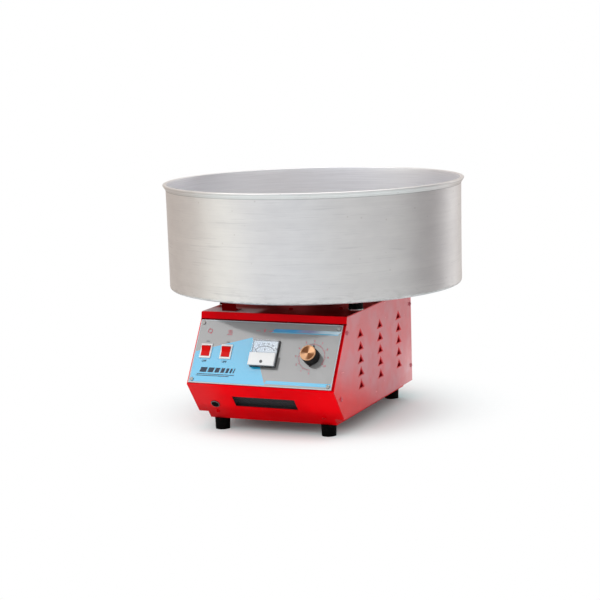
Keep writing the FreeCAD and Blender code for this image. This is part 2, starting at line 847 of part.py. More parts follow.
def bowl_buffers():
    z0 = deck_z + buffer_plate_t
    z1 = bowl_z - seat_gap
    out = []
    for x, y in buffer_points():
        rubber = disc(buffer_r, z0, z1, x, y)
        out.append(rubber.makeFillet(buffer_edge, [rubber.Edges[0]]))
    return group(out)


def buffer_plates():
    """Steel disc under each buffer, with the stud that holds it to the deck."""
    out = []
    for x, y in buffer_points():
        one = disc(buffer_plate_r, deck_z, deck_z + buffer_plate_t, x, y)
        out.append(one.fuse(disc(screw_r, deck_under - stud_below, deck_z + root, x, y)))
    return group(out)


def bowl_bracket():
    t = bracket_t
    x0 = bracket_x - bracket_w / 2
    x1 = bracket_x + bracket_w / 2
    y0 = deck_front + bend_r
    y1 = y0 + bracket_foot
    top = bowl_z - seat_gap
    profile = [(y0, deck_z), (y1, deck_z), (y1, deck_z + t), (y0 + t, deck_z + t),
               (y0 + t, top - t), (y1, top - t), (y1, top), (y0, top)]
    shape = prism(profile, x0, x1)
    outer = [e for e in shape.Edges if abs(e.BoundBox.YMax - y0) < 0.01 and e.Length > t * 8
             and abs(e.BoundBox.ZLength) < 0.01]
    shape = shape.makeFillet(t * 0.9, outer)
    return shape.cut(group(screw_holes(bracket_screw_points(), (0, 0, 1), t + 2)))


# ---------------------------------------------------------------- switches
pivot_w = overlay_t + bezel_h - rocker_sink      # rocker pivot, above the slope's sheet
cavity_w = switch_w / 2 - bezel_edge
cavity_l = rocker_r + rocker_play


def switch_housing(x):
    top = overlay_t + bezel_h
    bezel = box(-switch_w / 2, switch_w / 2, -switch_l / 2, switch_l / 2, overlay_t, top)
    bezel = bezel.makeFillet(bezel_round,
                             [e for e in bezel.Edges if e.BoundBox.ZMin > top - 0.01])
    w = switch_w / 2 - switch_body_in
    h = switch_l / 2 - switch_body_in
    body = bezel.fuse(box(-w, w, -h, h, -switch_body_d, overlay_t + root))
    cavity = box(-cavity_w, cavity_w, -cavity_l, cavity_l, pivot_w - rocker_r - 0.4, top + 1)
    body = body.cut(cavity)
    body = body.cut(rod(rocker_pin_r + pin_clear, (-cavity_w - rocker_pin_l - 0.2, 0, pivot_w),
                        (1, 0, 0), 2 * (cavity_w + rocker_pin_l + 0.2)))
    tabs = [box(-tab_w / 2, tab_w / 2, v - tab_t / 2, v + tab_t / 2,
                -switch_body_d - tab_l, -switch_body_d + root)
            for v in (-tab_pitch, 0.0, tab_pitch)]
    return panel.put(body.fuse(tabs), x, switch_s)


def rocker(x):
    """Rocker at rest with its lower, OFF, end pressed in."""
    half = cavity_w - rocker_play
    drum = rod(rocker_r, (-half, 0, 0), (1, 0, 0), 2 * half)
    top = overlay_t + bezel_h - pivot_w
    big = 3 * rocker_r
    edge_l = math.sqrt(rocker_r ** 2 - (top + rocker_end_h) ** 2)
    above = [(-big, big), (-big, top + rocker_end_h), (-edge_l, top + rocker_end_h),
             (0, top + rocker_mid_h), (edge_l, top + rocker_end_h), (big, top + rocker_end_h),
             (big, big)]
    drum = drum.cut(prism(above, -half - 1, half + 1))
    drum = drum.cut(box(-half - 1, half + 1, -big, big, -big, -rocker_under))
    pin = rod(rocker_pin_r, (-half - rocker_play - rocker_pin_l, 0, 0), (1, 0, 0),
              2 * (half + rocker_play + rocker_pin_l))
    shape = drum.fuse(pin)
    shape.rotate(V(0, 0, 0), V(1, 0, 0), rocker_tilt)
    return panel.put(shape, x, switch_s, pivot_w)


# ---------------------------------------------------------------- meter
meter_base_w = overlay_t + meter_base_h
meter_top_w = meter_base_w + meter_front_h
dial_w = meter_base_w + meter_pad
needle_level = dial_w + meter_dial_t + needle_above


def meter_case():
    half = meter_w / 2
    base = box(-half, half, -meter_l / 2, meter_l / 2, overlay_t, meter_base_w)
    barrel = disc(meter_barrel_r, -meter_barrel_d, overlay_t + root)
    case = base.fuse(barrel)
    pit = disc(meter_barrel_r - meter_wall, -meter_barrel_d + meter_wall, meter_base_w + 1)
    case = case.cut(pit)
    studs = [disc(meter_stud_r, -meter_barrel_d - meter_stud_l, -meter_barrel_d + root, dx, 0)
             for dx in (-meter_stud_x, meter_stud_x)]
    return panel.put(case.fuse(studs), meter_x, meter_s)


def meter_magnet():
    """Magnet block of the movement, on the floor of the case, bored for the moving coil."""
    half = magnet_w / 2
    block = box(-half, half, -half, half, -meter_barrel_d + meter_wall,
                meter_base_w - magnet_sink)
    dy = meter_s - meter_pivot_s
    bore = disc(magnet_bore_r, -meter_barrel_d, meter_base_w, 0, dy)
    return panel.put(block.cut(bore), meter_x, meter_s)


def meter_dial():
    half_x = meter_w / 2 - meter_wall - meter_dial_play
    half_y = meter_l / 2 - meter_wall - meter_dial_play
    sheet = box(-half_x, half_x, -half_y, half_y, meter_base_w, dial_w + meter_dial_t)
    dy = meter_s - meter_pivot_s
    sheet = sheet.cut(disc(needle_hub_r + meter_pad, meter_base_w - 1, dial_w + 5, 0, dy))
    return panel.put(sheet, meter_x, meter_s)


def meter_window():
    """Clear front: a shallow box, open behind."""
    half = meter_w / 2
    shape = box(-half, half, -meter_l / 2, meter_l / 2, meter_base_w, meter_top_w)
    shape = shape.makeFillet(1.0, [e for e in shape.Edges if e.BoundBox.ZMin > meter_top_w - 0.01])
    inner = half - meter_wall
    hollow = box(-inner, inner, -meter_l / 2 + meter_wall, meter_l / 2 - meter_wall,
                 meter_base_w - 1, meter_top_w - meter_wall)
    shape = shape.cut(hollow)
    dy = meter_s - zero_screw_s
    shape = shape.cut(disc(zero_pin_r + pin_clear, meter_base_w, meter_top_w + 1, 0, dy))
    return panel.put(shape, meter_x, meter_s)


def meter_cover():
    half = meter_w / 2
    y0 = -meter_l / 2
    z1 = meter_top_w + meter_cover_h
    shape = box(-half, half, y0, y0 + meter_cover_l, meter_top_w, z1)
    shape = shape.makeFillet(0.8, [e for e in shape.Edges if e.BoundBox.ZMin > z1 - 0.01])
    dy = meter_s - zero_screw_s
    shape = shape.cut(disc(zero_screw_r + pin_clear, meter_top_w - 1, z1 + 1, 0, dy))
    return panel.put(shape, meter_x, meter_s)


def meter_zero_screw():
    """Slotted zero adjuster in the lower cover, with its pin through the window."""
    z0 = meter_top_w + 2 * pin_clear
    z1 = meter_top_w + meter_cover_h + root
    shape = disc(zero_screw_r, z0, z1)
    shape = shape.fuse(disc(zero_pin_r, meter_top_w - meter_wall, z0 + root))
    shape = shape.cut(box(-zero_screw_r, zero_screw_r, -zero_slot_w / 2, zero_slot_w / 2,
                          z1 - zero_slot_d, z1 + 1))
    return panel.put(shape, meter_x, zero_screw_s)


def meter_needle():
    """Pointer, hub and moving coil, at zero at the left end of the scale."""
    hub = disc(needle_hub_r, needle_level - root, needle_level - root + needle_hub_t)
    coil_z = -meter_barrel_d + 5.0
    coil = box(-coil_w / 2, coil_w / 2, -coil_t / 2, coil_t / 2, coil_z, coil_z + coil_l)
    staff = disc(staff_r, coil_z - 1.0, needle_level)
    tip = needle_len
    pts = [(-needle_w, 0), (needle_w, 0), (needle_w * 0.25, tip), (-needle_w * 0.25, tip)]
    pointer = plate(pts, needle_level, needle_level + needle_t)
    tail = box(-needle_w, needle_w, -needle_tail, 0, needle_level, needle_level + needle_t)
    shape = hub.fuse([coil, staff, pointer, tail])
    shape.rotate(V(0, 0, 0), V(0, 0, 1), needle_swing / 2)
    return panel.put(shape, meter_x, meter_pivot_s)


# ---------------------------------------------------------------- regulator
knob_w0 = overlay_t + knob_clear


def regulator_body():
    """Round can behind the slope, with a threaded bush and three solder lugs."""
    back = -sheet_t - reg_body_d
    bush_top = overlay_t + reg_nut_h + reg_bush_above
    body = disc(reg_body_r, back, -sheet_t)
    body = body.fuse(disc(reg_bush_r, -sheet_t - root, bush_top))
    body = body.cut(disc(reg_shaft_r + pin_clear, back + reg_floor, bush_top + 1))
    lugs = [box(x - reg_lug_w / 2, x + reg_lug_w / 2, -reg_body_r - reg_lug_l,
                -reg_body_r + reg_lug_l / 2, back + reg_floor, back + reg_floor + tab_t)
            for x in (-reg_lug_x, 0.0, reg_lug_x)]
    return panel.put(body.fuse(lugs), knob_x, knob_s)


def regulator_nut():
    nut = hexagon(2 * reg_nut_r, overlay_t, overlay_t + reg_nut_h)
    return panel.put(nut.cut(disc(reg_bush_r + pin_clear, -5, 20)), knob_x, knob_s)


def regulator_shaft():
    shaft = disc(reg_shaft_r, -sheet_t - reg_body_d + reg_floor + fold_gap,
                 knob_w0 + knob_h - shaft_short)
    return panel.put(shaft, knob_x, knob_s)


def regulator_knob():
    """Fluted knob on a skirt with a double pointer, its long tip down at rest."""
    w0 = knob_w0
    w1 = w0 + knob_h
    body = Part.makeCone(knob_r + knob_draft, knob_r, knob_h, V(0, 0, w0))
    step = 360.0 / knob_flutes
    flute = disc(flute_r, w0 + knob_skirt_h, w1 + 1, knob_r + flute_r - flute_depth, 0)
    body = body.cut(group(around(flute, knob_flutes, step / 2)))
    skirt = disc(knob_skirt_r, w0, w0 + knob_skirt_h)
    skirt = skirt.makeFillet(1.0, [skirt.Edges[0]])
    tip = plate([(-6.0, -knob_skirt_r + 2.4), (0, -pointer_tip), (6.0, -knob_skirt_r + 2.4)],
                w0, w0 + knob_skirt_h * 0.8)
    tail = plate([(-1.4, knob_skirt_r - 1.5), (-0.6, pointer_tail), (0.6, pointer_tail),
                  (1.4, knob_skirt_r - 1.5)], w0, w0 + knob_skirt_h * 0.5)
    body = body.fuse([skirt, tip, tail])
    pit_top = overlay_t + reg_nut_h + reg_bush_above + knob_clear
    pit = disc(reg_nut_r * 2 / math.sqrt(3) + knob_clear, w0 - 1, pit_top)
    body = body.cut(pit)
    bore = disc(reg_shaft_r, w0 - 1, w0 + knob_h - shaft_short)
    return panel.put(body.cut(bore), knob_x, knob_s)


def knob_cap():
    """Spun brass cap: raised rim around a shallow dish."""
    w1 = knob_w0 + knob_h
    pts = [(0, w1), (cap_r, w1), (cap_r, w1 + cap_h), (cap_r - cap_rim, w1 + cap_h),
           (cap_r - cap_rim - cap_bevel, w1 + cap_h - cap_bevel), (0, w1 + cap_h - cap_dish)]
    return panel.put(turned(pts), knob_x, knob_s)


# ---------------------------------------------------------------- chin
def fuse_holder():
    barrel = disc(fuse_r, -fuse_d, 0.0)
    collar = disc(fuse_ring_r - 1.6, 0.0, 1.0)
    body = barrel.fuse(collar)
    body = body.cut(disc(fuse_cap_r + pin_clear, -fuse_cap_in - fold_gap, 5))
    link_end = fuse_link_in + fuse_link_l
    body = body.cut(disc(fuse_link_r + 2 * fold_gap, -link_end - fold_gap, -5))
    lug = box(-tab_w / 2, tab_w / 2, -tab_t / 2, tab_t / 2, -fuse_d - tab_l, -fuse_d + root)
    return chin.put(body.fuse(lug), fuse_x, fuse_c)


def fuse_ring():
    """Plated ring nut around the fuse holder's mouth."""
    z1 = fuse_ring_h
    r0 = fuse_ring_r - 1.6
    shape = tube(fuse_ring_r, r0 + 0.05, 0, z1)
    edges = [e for e in shape.Edges if e.BoundBox.ZMin > z1 - 0.01
             and e.BoundBox.XLength > 2 * fuse_ring_r - 0.1]
    return chin.put(shape.makeFillet(0.8, edges), fuse_x, fuse_c)


def fuse_cap():
    """Bayonet cap of the fuse holder, with a slot for a coin."""
    shape = disc(fuse_cap_r, -fuse_cap_in, fuse_cap_out)
    shape = shape.cut(box(-fuse_cap_r, fuse_cap_r, -fuse_coin_w / 2, fuse_coin_w / 2, 0, 9))
    return chin.put(shape, fuse_x, fuse_c)


def fuse_link():
    return chin.put(disc(fuse_link_r, -fuse_link_in - fuse_link_l, -fuse_link_in), fuse_x, fuse_c)


def dust_filter():
    """Dark foam pad behind the air slot, moulded with a rim so that its face is set back."""
    w1 = -sheet_t - filter_gap
    pad = box(slot_x0 - filter_margin, slot_x1 + filter_margin, -slot_c1 - filter_margin_c,
              -slot_c0 + filter_margin_c, w1 - filter_t, w1)
    pocket = box(slot_x0 - filter_wall, slot_x1 + filter_wall, -slot_c1 - filter_wall,
                 -slot_c0 + filter_wall, w1 - filter_pocket, w1 + 1)
    return chin.put(pad.cut(pocket))


# ---------------------------------------------------------------- motor and drive
def motor_bracket():
    h = motor_plate / 2
    sheet = box(-h, h, -h, h, motor_z1, motor_plate_z1)
    vertical = [e for e in sheet.Edges if abs(e.BoundBox.ZLength - motor_plate_t) < 0.01]
    sheet = sheet.makeFillet(plate_corner, vertical)
    sheet = sheet.cut(disc(boss_r + seat_gap, motor_z1 - 1, motor_plate_z1 + 1))
    for x, y in motor_bolt_points():
        sheet = sheet.cut(disc(bolt_r + bolt_clear, motor_z1 - 1, motor_plate_z1 + 1, x, y))
    return sheet


def motor_bushes():
    return group([tube(bush_r, bolt_r + bolt_clear, motor_plate_z1, deck_under, x, y)
                  for x, y in motor_bolt_points()])


def motor_bolts():
    """Bolts through deck, bushes and motor plate, each with its nut."""
    out = []
    for x, y in motor_bolt_points():
        head = hexagon(bolt_across, deck_z, deck_z + bolt_head_h)
        shank = disc(bolt_r, motor_z1 - bolt_nut_h - bolt_end, deck_z + root)
        nut = hexagon(bolt_across, motor_z1 - bolt_nut_h, motor_z1)
        bolt = head.fuse([shank, nut])
        bolt.translate(V(x, y, 0))
        out.append(bolt)
    return group(out)


def motor_frame():
    shell = tube(motor_r, motor_r - motor_wall, motor_z0 + cap_plate_t, motor_z1 - cap_plate_t)
    slots = []
    for z in (stator_z1 + vent_slot_gap, stator_z0 - vent_slot_gap - vent_slot_h):
        slot = box(motor_r - 2 * motor_wall, motor_r + 1, -vent_slot_w / 2, vent_slot_w / 2,
                   z, z + vent_slot_h)
        slots += around(slot, vent_slots)
    return shell.cut(group(slots))


def motor_end_caps():
    """Upper and lower end cap, each with a boss around its bearing."""
    top = disc(motor_r, motor_z1 - cap_plate_t, motor_z1)
    top = top.fuse(disc(boss_r, motor_z1 - root, motor_z1 + boss_h))
    low = disc(motor_r, motor_z0, motor_z0 + cap_plate_t)
    low = low.fuse(disc(boss_r, motor_z0 - boss_h, motor_z0 + root))
    pockets = [disc(bearing_r, z, z + bearing_h) for z in bearing_levels]
    bore = disc(shaft_r + shaft_clear, motor_z0 - boss_h - 1, motor_z1 + boss_h + 1)
    return group([cap.cut(group(pockets)).cut(bore) for cap in (top, low)])


def motor_bearings():
    return group([tube(bearing_r - pin_clear, shaft_r + pin_clear, z, z + bearing_h)
                  for z in bearing_levels])


def stator_core():
    core = tube(motor_r - motor_wall, stator_in, stator_z0, stator_z1)
    slot = box(stator_in - 1, stator_in + stator_slot_d, -stator_slot_w / 2, stator_slot_w / 2,
               stator_z0 - 1, stator_z1 + 1)
    return core.cut(group(around(slot, stator_slots)))


def stator_coils():
    r0 = stator_in + coil_step
    r1 = motor_r - motor_wall - coil_wall
    rings = [(stator_z1, stator_z1 + coil_h), (stator_z0 - coil_h, stator_z0)]
    return group([tube(r1, r0, z0, z1) for z0, z1 in rings])


def motor_armature():
    core = tube(stator_in - air_gap, shaft_r, stator_z0, stator_z1)
    slot = box(stator_in - armature_slot_d, stator_in, -armature_slot_w / 2, armature_slot_w / 2,
               stator_z0 - 1, stator_z1 + 1)
    return core.cut(group(around(slot, armature_slots)))


def drive_shaft():
    z0 = motor_z0 - boss_h - fan_below - fan_h - shaft_below_fan
    shaft = disc(shaft_r, z0, shaft_top)
    return shaft.makeChamfer(0.8, [shaft.Edges[0], shaft.Edges[2]])


def cooling_fan():
    z1 = motor_z0 - boss_h - fan_below
    z0 = z1 - fan_h
    hub = disc(fan_hub_r, z0, z1)
    web = disc(fan_r, z0, z0 + fan_t)
    blade = box(fan_hub_r - 2, fan_r, -fan_t / 2, fan_t / 2, z0, z1)
    blade.rotate(V(fan_hub_r, 0, 0), V(0, 0, 1), fan_twist)
    fan = hub.fuse([web] + around(blade, fan_blades))
    return fan.cut(disc(shaft_r, z0 - 1, z1 + 1))


# ---------------------------------------------------------------- slip rings and brushes
def slip_ring_sleeve():
    return tube(sleeve_r, shaft_r, sleeve_z0, sleeve_z1)


def slip_rings():
    return group([tube(ring_r, sleeve_r, z, z + ring_h) for z in (ring_low_z, ring_high_z)])


def brush_level(z):
    return z + ring_h / 2


def brush_holder():
    """Insulating block on the deck with a guide for each brush."""
    x0 = ring_r + holder_gap
    x1 = x0 + holder_l
    z1 = ring_high_z + ring_h + holder_wall
    w = holder_w / 2
    block = box(x0, x1, -w, w, deck_z, z1)
    block = block.fuse(box(x1 - root, x1 + holder_foot_l, -w, w, deck_z, deck_z + holder_foot_h))
    h = brush_w / 2 + brush_play
    for z in (ring_low_z, ring_high_z):
        c = brush_level(z)
        block = block.cut(box(x0 - 1, x1 - holder_wall, -h, h, c - h, c + h))
    return block


def carbon_brushes():
    x0 = ring_r + brush_gap
    h = brush_w / 2
    return group([box(x0, x0 + brush_l, -h, h, brush_level(z) - h, brush_level(z) + h)
                  for z in (ring_low_z, ring_high_z)])


def brush_springs():
    """Coil spring behind each brush, as rings joined by a straight wire."""
    x0 = ring_r + brush_gap + brush_l + spring_wire_r
    x1 = ring_r + holder_gap + holder_l - holder_wall - spring_wire_r
    pitch = (x1 - x0) / spring_turns
    out = []
    for z in (ring_low_z, ring_high_z):
        c = brush_level(z)
        rings = [Part.makeTorus(spring_r, spring_wire_r, V(x0 + pitch * i, 0, c), V(1, 0, 0))
                 for i in range(spring_turns + 1)]
        spine = rod(spring_spine_r, (x0, spring_r, c), (1, 0, 0), x1 - x0)
        out.append(spine.fuse(rings))
    return group(out)


def heater_leads():
    """Insulated leads from the slip rings up through the head's base."""
    return group([disc(lead_r, sleeve_z1, head_z, s * lead_at, 0) for s in (-1, 1)])


# ---------------------------------------------------------------- spinner head
def head_base():
    rim_in = head_r - head_rim_t
    pts = [(shaft_r, head_z - hub_h), (hub_r, head_z - hub_h), (hub_r, head_z),
           (head_r, head_z), (head_r, band_z0), (rim_in, band_z0), (rim_in, head_floor),
           (shaft_r, head_floor)]
    base = turned(pts)
    cuts = [disc(lead_r + 0.05, head_z - hub_h - 1, head_floor + 1, s * lead_at, 0)
            for s in (-1, 1)]
    neck = pillar_r - screw_neck + pillar_hole
    cuts += around(disc(neck, head_z - 1, head_floor + 1, pillar_at, 0), head_screws_n, 45)
    return base.cut(group(cuts))


def heater_insulators():
    post = disc(heater_post_r, head_floor, head_floor + heater_post_h, heater_ring_r, 0)
    return group(around(post, 4))


def heater_ring():
    """Sheathed heating tube bent into a ring, lying in the saddles of its posts."""
    z = head_floor + heater_post_h + heater_tube_r
    ring = Part.makeTorus(heater_ring_r, heater_tube_r, V(0, 0, z))
    return ring


def head_band():
    """Slotted band that the floss is thrown through."""
    r1 = head_r - 0.6
    band = tube(r1, r1 - band_t, band_z0, band_z1)
    slot = box(r1 - 4, r1 + 4, -band_slot_w / 2, band_slot_w / 2,
               band_z0 + band_slot_margin, band_z1 - band_slot_margin)
    return band.cut(group(around(slot, band_slots, 180.0 / band_slots)))


def head_cover():
    """Lid of the head: shallow cone up to the collar of the sugar inlet."""
    t = cover_t
    z = cover_z
    flat = head_r - cover_flat
    pts = [(head_r, z), (head_r, z + t), (flat, z + t), (inlet_r + t, z + cover_rise + t),
           (inlet_r + t, z + cover_rise + inlet_collar), (inlet_r, z + cover_rise + inlet_collar),
           (inlet_r, z + cover_rise), (flat, z)]
    cover = turned(pts)
    neck = pillar_r - screw_neck + pillar_hole
    cuts = around(disc(neck, z - 1, z + t + 1, pillar_at, 0), head_screws_n, 45)
    return cover.cut(group(cuts))


def head_screws():
    """Pillars between base and lid, each with a screw down through the lid."""
    lid_z = cover_z + cover_t
    pillar = disc(pillar_r, head_floor, cover_z, pillar_at, 0)
    neck = disc(pillar_r - screw_neck, head_z - 1.0, lid_z + root, pillar_at, 0)
    head = disc(pillar_r + 1.0, lid_z, lid_z + head_screw_h, pillar_at, 0)
    return group(around(pillar.fuse([neck, head]), head_screws_n, 45))


def head_nut():
    """Dome nut that locks the head to the shaft."""
    z0 = head_floor
    top = z0 + nut_h - 1.0
    nut = hexagon(nut_across, z0, z0 + nut_h)
    dome = Part.makeSphere(dome_r, V(0, 0, top)).common(disc(dome_r, top, top + dome_r))
    return nut.fuse(dome).cut(disc(shaft_r, z0 - 1, shaft_top))


# ---------------------------------------------------------------- inside and rear
def terminal_block():
    z0 = tray_z + sheet_t
    h = block_l / 2
    block = box(-h, h, block_y - block_w / 2, block_y + block_w / 2, z0, z0 + block_h)
    pitch = (block_l - 2 * block_edge) / block_poles
    for i in range(block_poles):
        x = -h + block_edge + pitch * (i + 0.5)
        for dy in (-block_hole_y, block_hole_y):
            block = block.cut(disc(block_hole_r, z0 + block_h - block_hole_d, z0 + block_h + 1,
                                   x, block_y + dy))
        block = block.cut(rod(block_hole_r, (x, block_y - block_w, z0 + block_hole_d), (0, 1, 0),
                              2 * block_w))
    return block


def cord_gland():
    """Grommet for the mains lead in the rear panel."""
    y0 = deck_back
    axis = (0, 1, 0)
    body = rod(gland_r, (gland_x, back_in - gland_in, gland_z), axis, gland_in + 2 * sheet_t)
    flange = rod(gland_flange_r, (gland_x, y0, gland_z), axis, gland_flange_t)
    nose_r = gland_r + gland_nose_step
    nose = Part.makeCone(nose_r, nose_r - gland_taper, gland_l - gland_flange_t,
                         V(gland_x, y0 + gland_flange_t, gland_z), V(*axis))
    nut = rod(gland_flange_r - gland_nut_in, (gland_x, back_in - gland_nut_t, gland_z), axis,
              gland_nut_t)
    body = body.fuse([flange, nose, nut])
    return body.cut(rod(gland_bore_r, (gland_x, back_in - 20, gland_z), axis, 60))


# ---------------------------------------------------------------- write every piece
PIECES = {
    "cabinet_shell": cabinet_shell,
    "front_panel": front_panel,
    "panel_overlay": panel_overlay,
    "base_tray": base_tray,
    "back_panel": back_panel,
    "rubber_feet": rubber_feet,
    "foot_screws": foot_screws,
    "case_screws": case_screws,
    "panel_screws": panel_screws,
    "bowl": bowl,
    "bowl_buffers": bowl_buffers,
    "buffer_plates": buffer_plates,
    "bowl_bracket": bowl_bracket,
    "motor_switch_housing": lambda: switch_housing(switch_motor_x),
    "heat_switch_housing": lambda: switch_housing(switch_heat_x),
    "motor_rocker": lambda: rocker(switch_motor_x),
    "heat_rocker": lambda: rocker(switch_heat_x),
    "meter_case": meter_case,
    "meter_magnet": meter_magnet,
    "meter_dial": meter_dial,
    "meter_window": meter_window,
    "meter_cover": meter_cover,
    "meter_zero_screw": meter_zero_screw,
    "meter_needle": meter_needle,
    "regulator_body": regulator_body,
    "regulator_nut": regulator_nut,
    "regulator_shaft": regulator_shaft,
    "regulator_knob": regulator_knob,
    "knob_cap": knob_cap,
    "fuse_holder": fuse_holder,
    "fuse_ring": fuse_ring,
    "fuse_cap": fuse_cap,
    "fuse_link": fuse_link,
    "dust_filter": dust_filter,
    "motor_bracket": motor_bracket,
    "motor_bushes": motor_bushes,
    "motor_bolts": motor_bolts,
    "motor_frame": motor_frame,
    "motor_end_caps": motor_end_caps,
    "motor_bearings": motor_bearings,
    "stator_core": stator_core,
    "stator_coils": stator_coils,
    "motor_armature": motor_armature,
    "drive_shaft": drive_shaft,
    "cooling_fan": cooling_fan,
    "slip_ring_sleeve": slip_ring_sleeve,
    "slip_rings": slip_rings,
    "brush_holder": brush_holder,
    "carbon_brushes": carbon_brushes,
    "brush_springs": brush_springs,
    "heater_leads": heater_leads,
    "head_base": head_base,
    "heater_insulators": heater_insulators,
    "heater_ring": heater_ring,
    "head_band": head_band,
    "head_cover": head_cover,
    "head_screws": head_screws,
    "head_nut": head_nut,
    "terminal_block": terminal_block,
    "cord_gland": cord_gland,
}

os.makedirs("parts", exist_ok=True)
for name, make in PIECES.items():
    shape = make()
    solids = shape.Solids
    print(f"{name:22s} solids {len(solids):3d}  valid {shape.isValid()}  "
          f"volume {shape.Volume / 1000:9.2f} cm3")
    out = solids[0] if len(solids) == 1 else Part.makeCompound(solids)
    out.exportStep(os.path.join("parts", name + ".step"))

print("pieces", len(PIECES))
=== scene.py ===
"""Tabletop candy floss machine: finishes, printed panel, dials, springs, floor, lights and camera."""

import json
import math

import bmesh
import bpy
from mathutils import Matrix, Vector, noise


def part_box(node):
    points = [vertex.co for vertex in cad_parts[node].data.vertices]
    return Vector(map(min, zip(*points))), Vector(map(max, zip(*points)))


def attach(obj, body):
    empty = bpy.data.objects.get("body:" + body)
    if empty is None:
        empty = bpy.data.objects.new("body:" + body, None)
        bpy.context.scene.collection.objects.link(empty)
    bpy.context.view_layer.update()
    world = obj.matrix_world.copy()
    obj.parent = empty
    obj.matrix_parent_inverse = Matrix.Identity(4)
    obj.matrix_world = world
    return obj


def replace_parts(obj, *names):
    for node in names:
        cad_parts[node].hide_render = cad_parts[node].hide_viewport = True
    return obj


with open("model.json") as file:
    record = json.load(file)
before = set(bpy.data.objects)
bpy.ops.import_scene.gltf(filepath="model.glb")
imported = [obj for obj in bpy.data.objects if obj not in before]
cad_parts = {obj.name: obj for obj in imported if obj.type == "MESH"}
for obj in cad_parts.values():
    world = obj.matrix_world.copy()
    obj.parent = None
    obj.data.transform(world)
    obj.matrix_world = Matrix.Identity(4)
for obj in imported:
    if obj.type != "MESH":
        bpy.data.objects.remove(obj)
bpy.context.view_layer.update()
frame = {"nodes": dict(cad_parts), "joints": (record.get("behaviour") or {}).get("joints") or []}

bl_info = {
    "name": "Candy floss machine finishes",
    "version": (1, 0, 0),
    "blender": (4, 5, 0),
    "location": "View3D > Sidebar > Floss machine",
    "description": "Gives the packed machine its enamel, aluminium, print, dials, floor and lights",
    "category": "Object",
}

JOINTS = {joint["name"]: joint for joint in frame["joints"]}
NODES = frame["nodes"]
MM = 0.001
ORIGIN = (0.0, 0.0, 0.0)
UPRIGHT = (0.0, 0.0, 1.0)

# where the controls sit on the slopes, in mm: across from the middle, and down from the top edge
KNOB_DOWN = 59.5
KNOB_ACROSS = JOINTS["regulator_turn"]["pos_m"][0] / MM
SWITCH_ACROSS = [JOINTS[name]["pos_m"][0] / MM for name in ("motor_switch_rock", "heat_switch_rock")]
NEEDLE_ACROSS = JOINTS["needle_swing"]["pos_m"][0] / MM
FUSE_DOWN = 46.9
PANEL_LONG = 116.0

# print, in mm: how far it stands proud of its surface, and how far it reaches into it
PRINT_THICK = 0.05
PRINT_SUNK = 0.02

# the bowl's section, in metres
SHEET = 1.5 * MM
WALL_TAPER = 1.0 * MM
FOOT_CORNER = 5.0 * MM
RIM_LEAN = 5.0 * MM
RIM_HEIGHT = 9.8 * MM
RIM_FOLD = 1.6 * MM
RIM_INNER_FOLD = 1.0 * MM

# the triangular vents of the side sheets, in metres: the front column, the top row, and how they repeat
VENT_FRONT_Y = -129.9 * MM
VENT_TOP_Z = 162.0 * MM
VENT_PITCH_Y = 91.8 * MM
VENT_PITCH_Z = 21.5 * MM
VENT_COLUMNS = 3
VENT_ROWS = 5
VENT_HALF_WIDTH = 11.5 * MM
VENT_HEIGHT = 12.6 * MM


class Slope:
    """A flat slope of the cabinet. Places on it are across, down and out from its top middle, in mm."""

    def __init__(self, spot, out, down_to_spot):
        self.out = Vector(out).normalized()
        self.across = Vector((1.0, 0.0, 0.0))
        self.down = self.across.cross(self.out)
        spot = Vector(spot)
        self.origin = spot - self.across * spot.x - self.down * down_to_spot * MM

    def matrix(self, across, down, out=0.0):
        """Places a drawing whose X runs across, Y up the slope and Z outward, in mm."""
        middle = self.origin + (self.across * across + self.down * down + self.out * out) * MM
        axes = Matrix((self.across, -self.down, self.out)).transposed().to_4x4()
        return Matrix.Translation(middle) @ axes @ Matrix.Scale(MM, 4)


KNOB_JOINT = JOINTS["regulator_turn"]
FUSE_JOINT = JOINTS["fuse_cap_turn"]
PANEL = Slope(KNOB_JOINT["pos_m"], [-a for a in KNOB_JOINT["axis"]], KNOB_DOWN)
CHIN = Slope(FUSE_JOINT["pos_m"], FUSE_JOINT["axis"], FUSE_DOWN)


# ---------------------------------------------------------------- shader trees


class Value:
    """A number in a shader tree, so that sums on it are written as plain expressions."""

    def __init__(self, tree, socket):
        self.tree = tree
        self.socket = socket

    def _sum(self, operation, first, second=0.0):
        return self.tree.node("ShaderNodeMath", {"operation": operation}, {0: first, 1: second})

    def __add__(self, other):
        return self._sum("ADD", self, other)

    def __radd__(self, other):
        return self._sum("ADD", other, self)

    def __sub__(self, other):
        return self._sum("SUBTRACT", self, other)

    def __rsub__(self, other):
        return self._sum("SUBTRACT", other, self)

    def __mul__(self, other):
        return self._sum("MULTIPLY", self, other)

    def __rmul__(self, other):
        return self._sum("MULTIPLY", other, self)

    def __truediv__(self, other):
        return self._sum("DIVIDE", self, other)

    def __abs__(self):
        return self._sum("ABSOLUTE", self)

    def least(self, other):
        return self._sum("MINIMUM", self, other)

    def most(self, other):
        return self._sum("MAXIMUM", self, other)

    def root(self):
        return self._sum("SQRT", self)

    def repeat(self, length):
        """Runs from 0 to length over and over."""
        return self._sum("FLOORED_MODULO", self, length)

    def past_nearest(self, first, pitch):
        """How far past the nearest of a row of places it is, and below 0 before that place."""
        return (self - first + pitch / 2).repeat(pitch) - pitch / 2

    def rise(self, low, high):
        """0 below low and 1 above high, with a smooth ramp between them."""
        return self.tree.node(
            "ShaderNodeMapRange",
            {"interpolation_type": "SMOOTHSTEP"},
            {"Value": self, "From Min": low, "From Max": high},
        )

    def above(self, edge, soft):
        return self.rise(edge - soft, edge + soft)

    def below(self, edge, soft):
        return 1.0 - self.above(edge, soft)


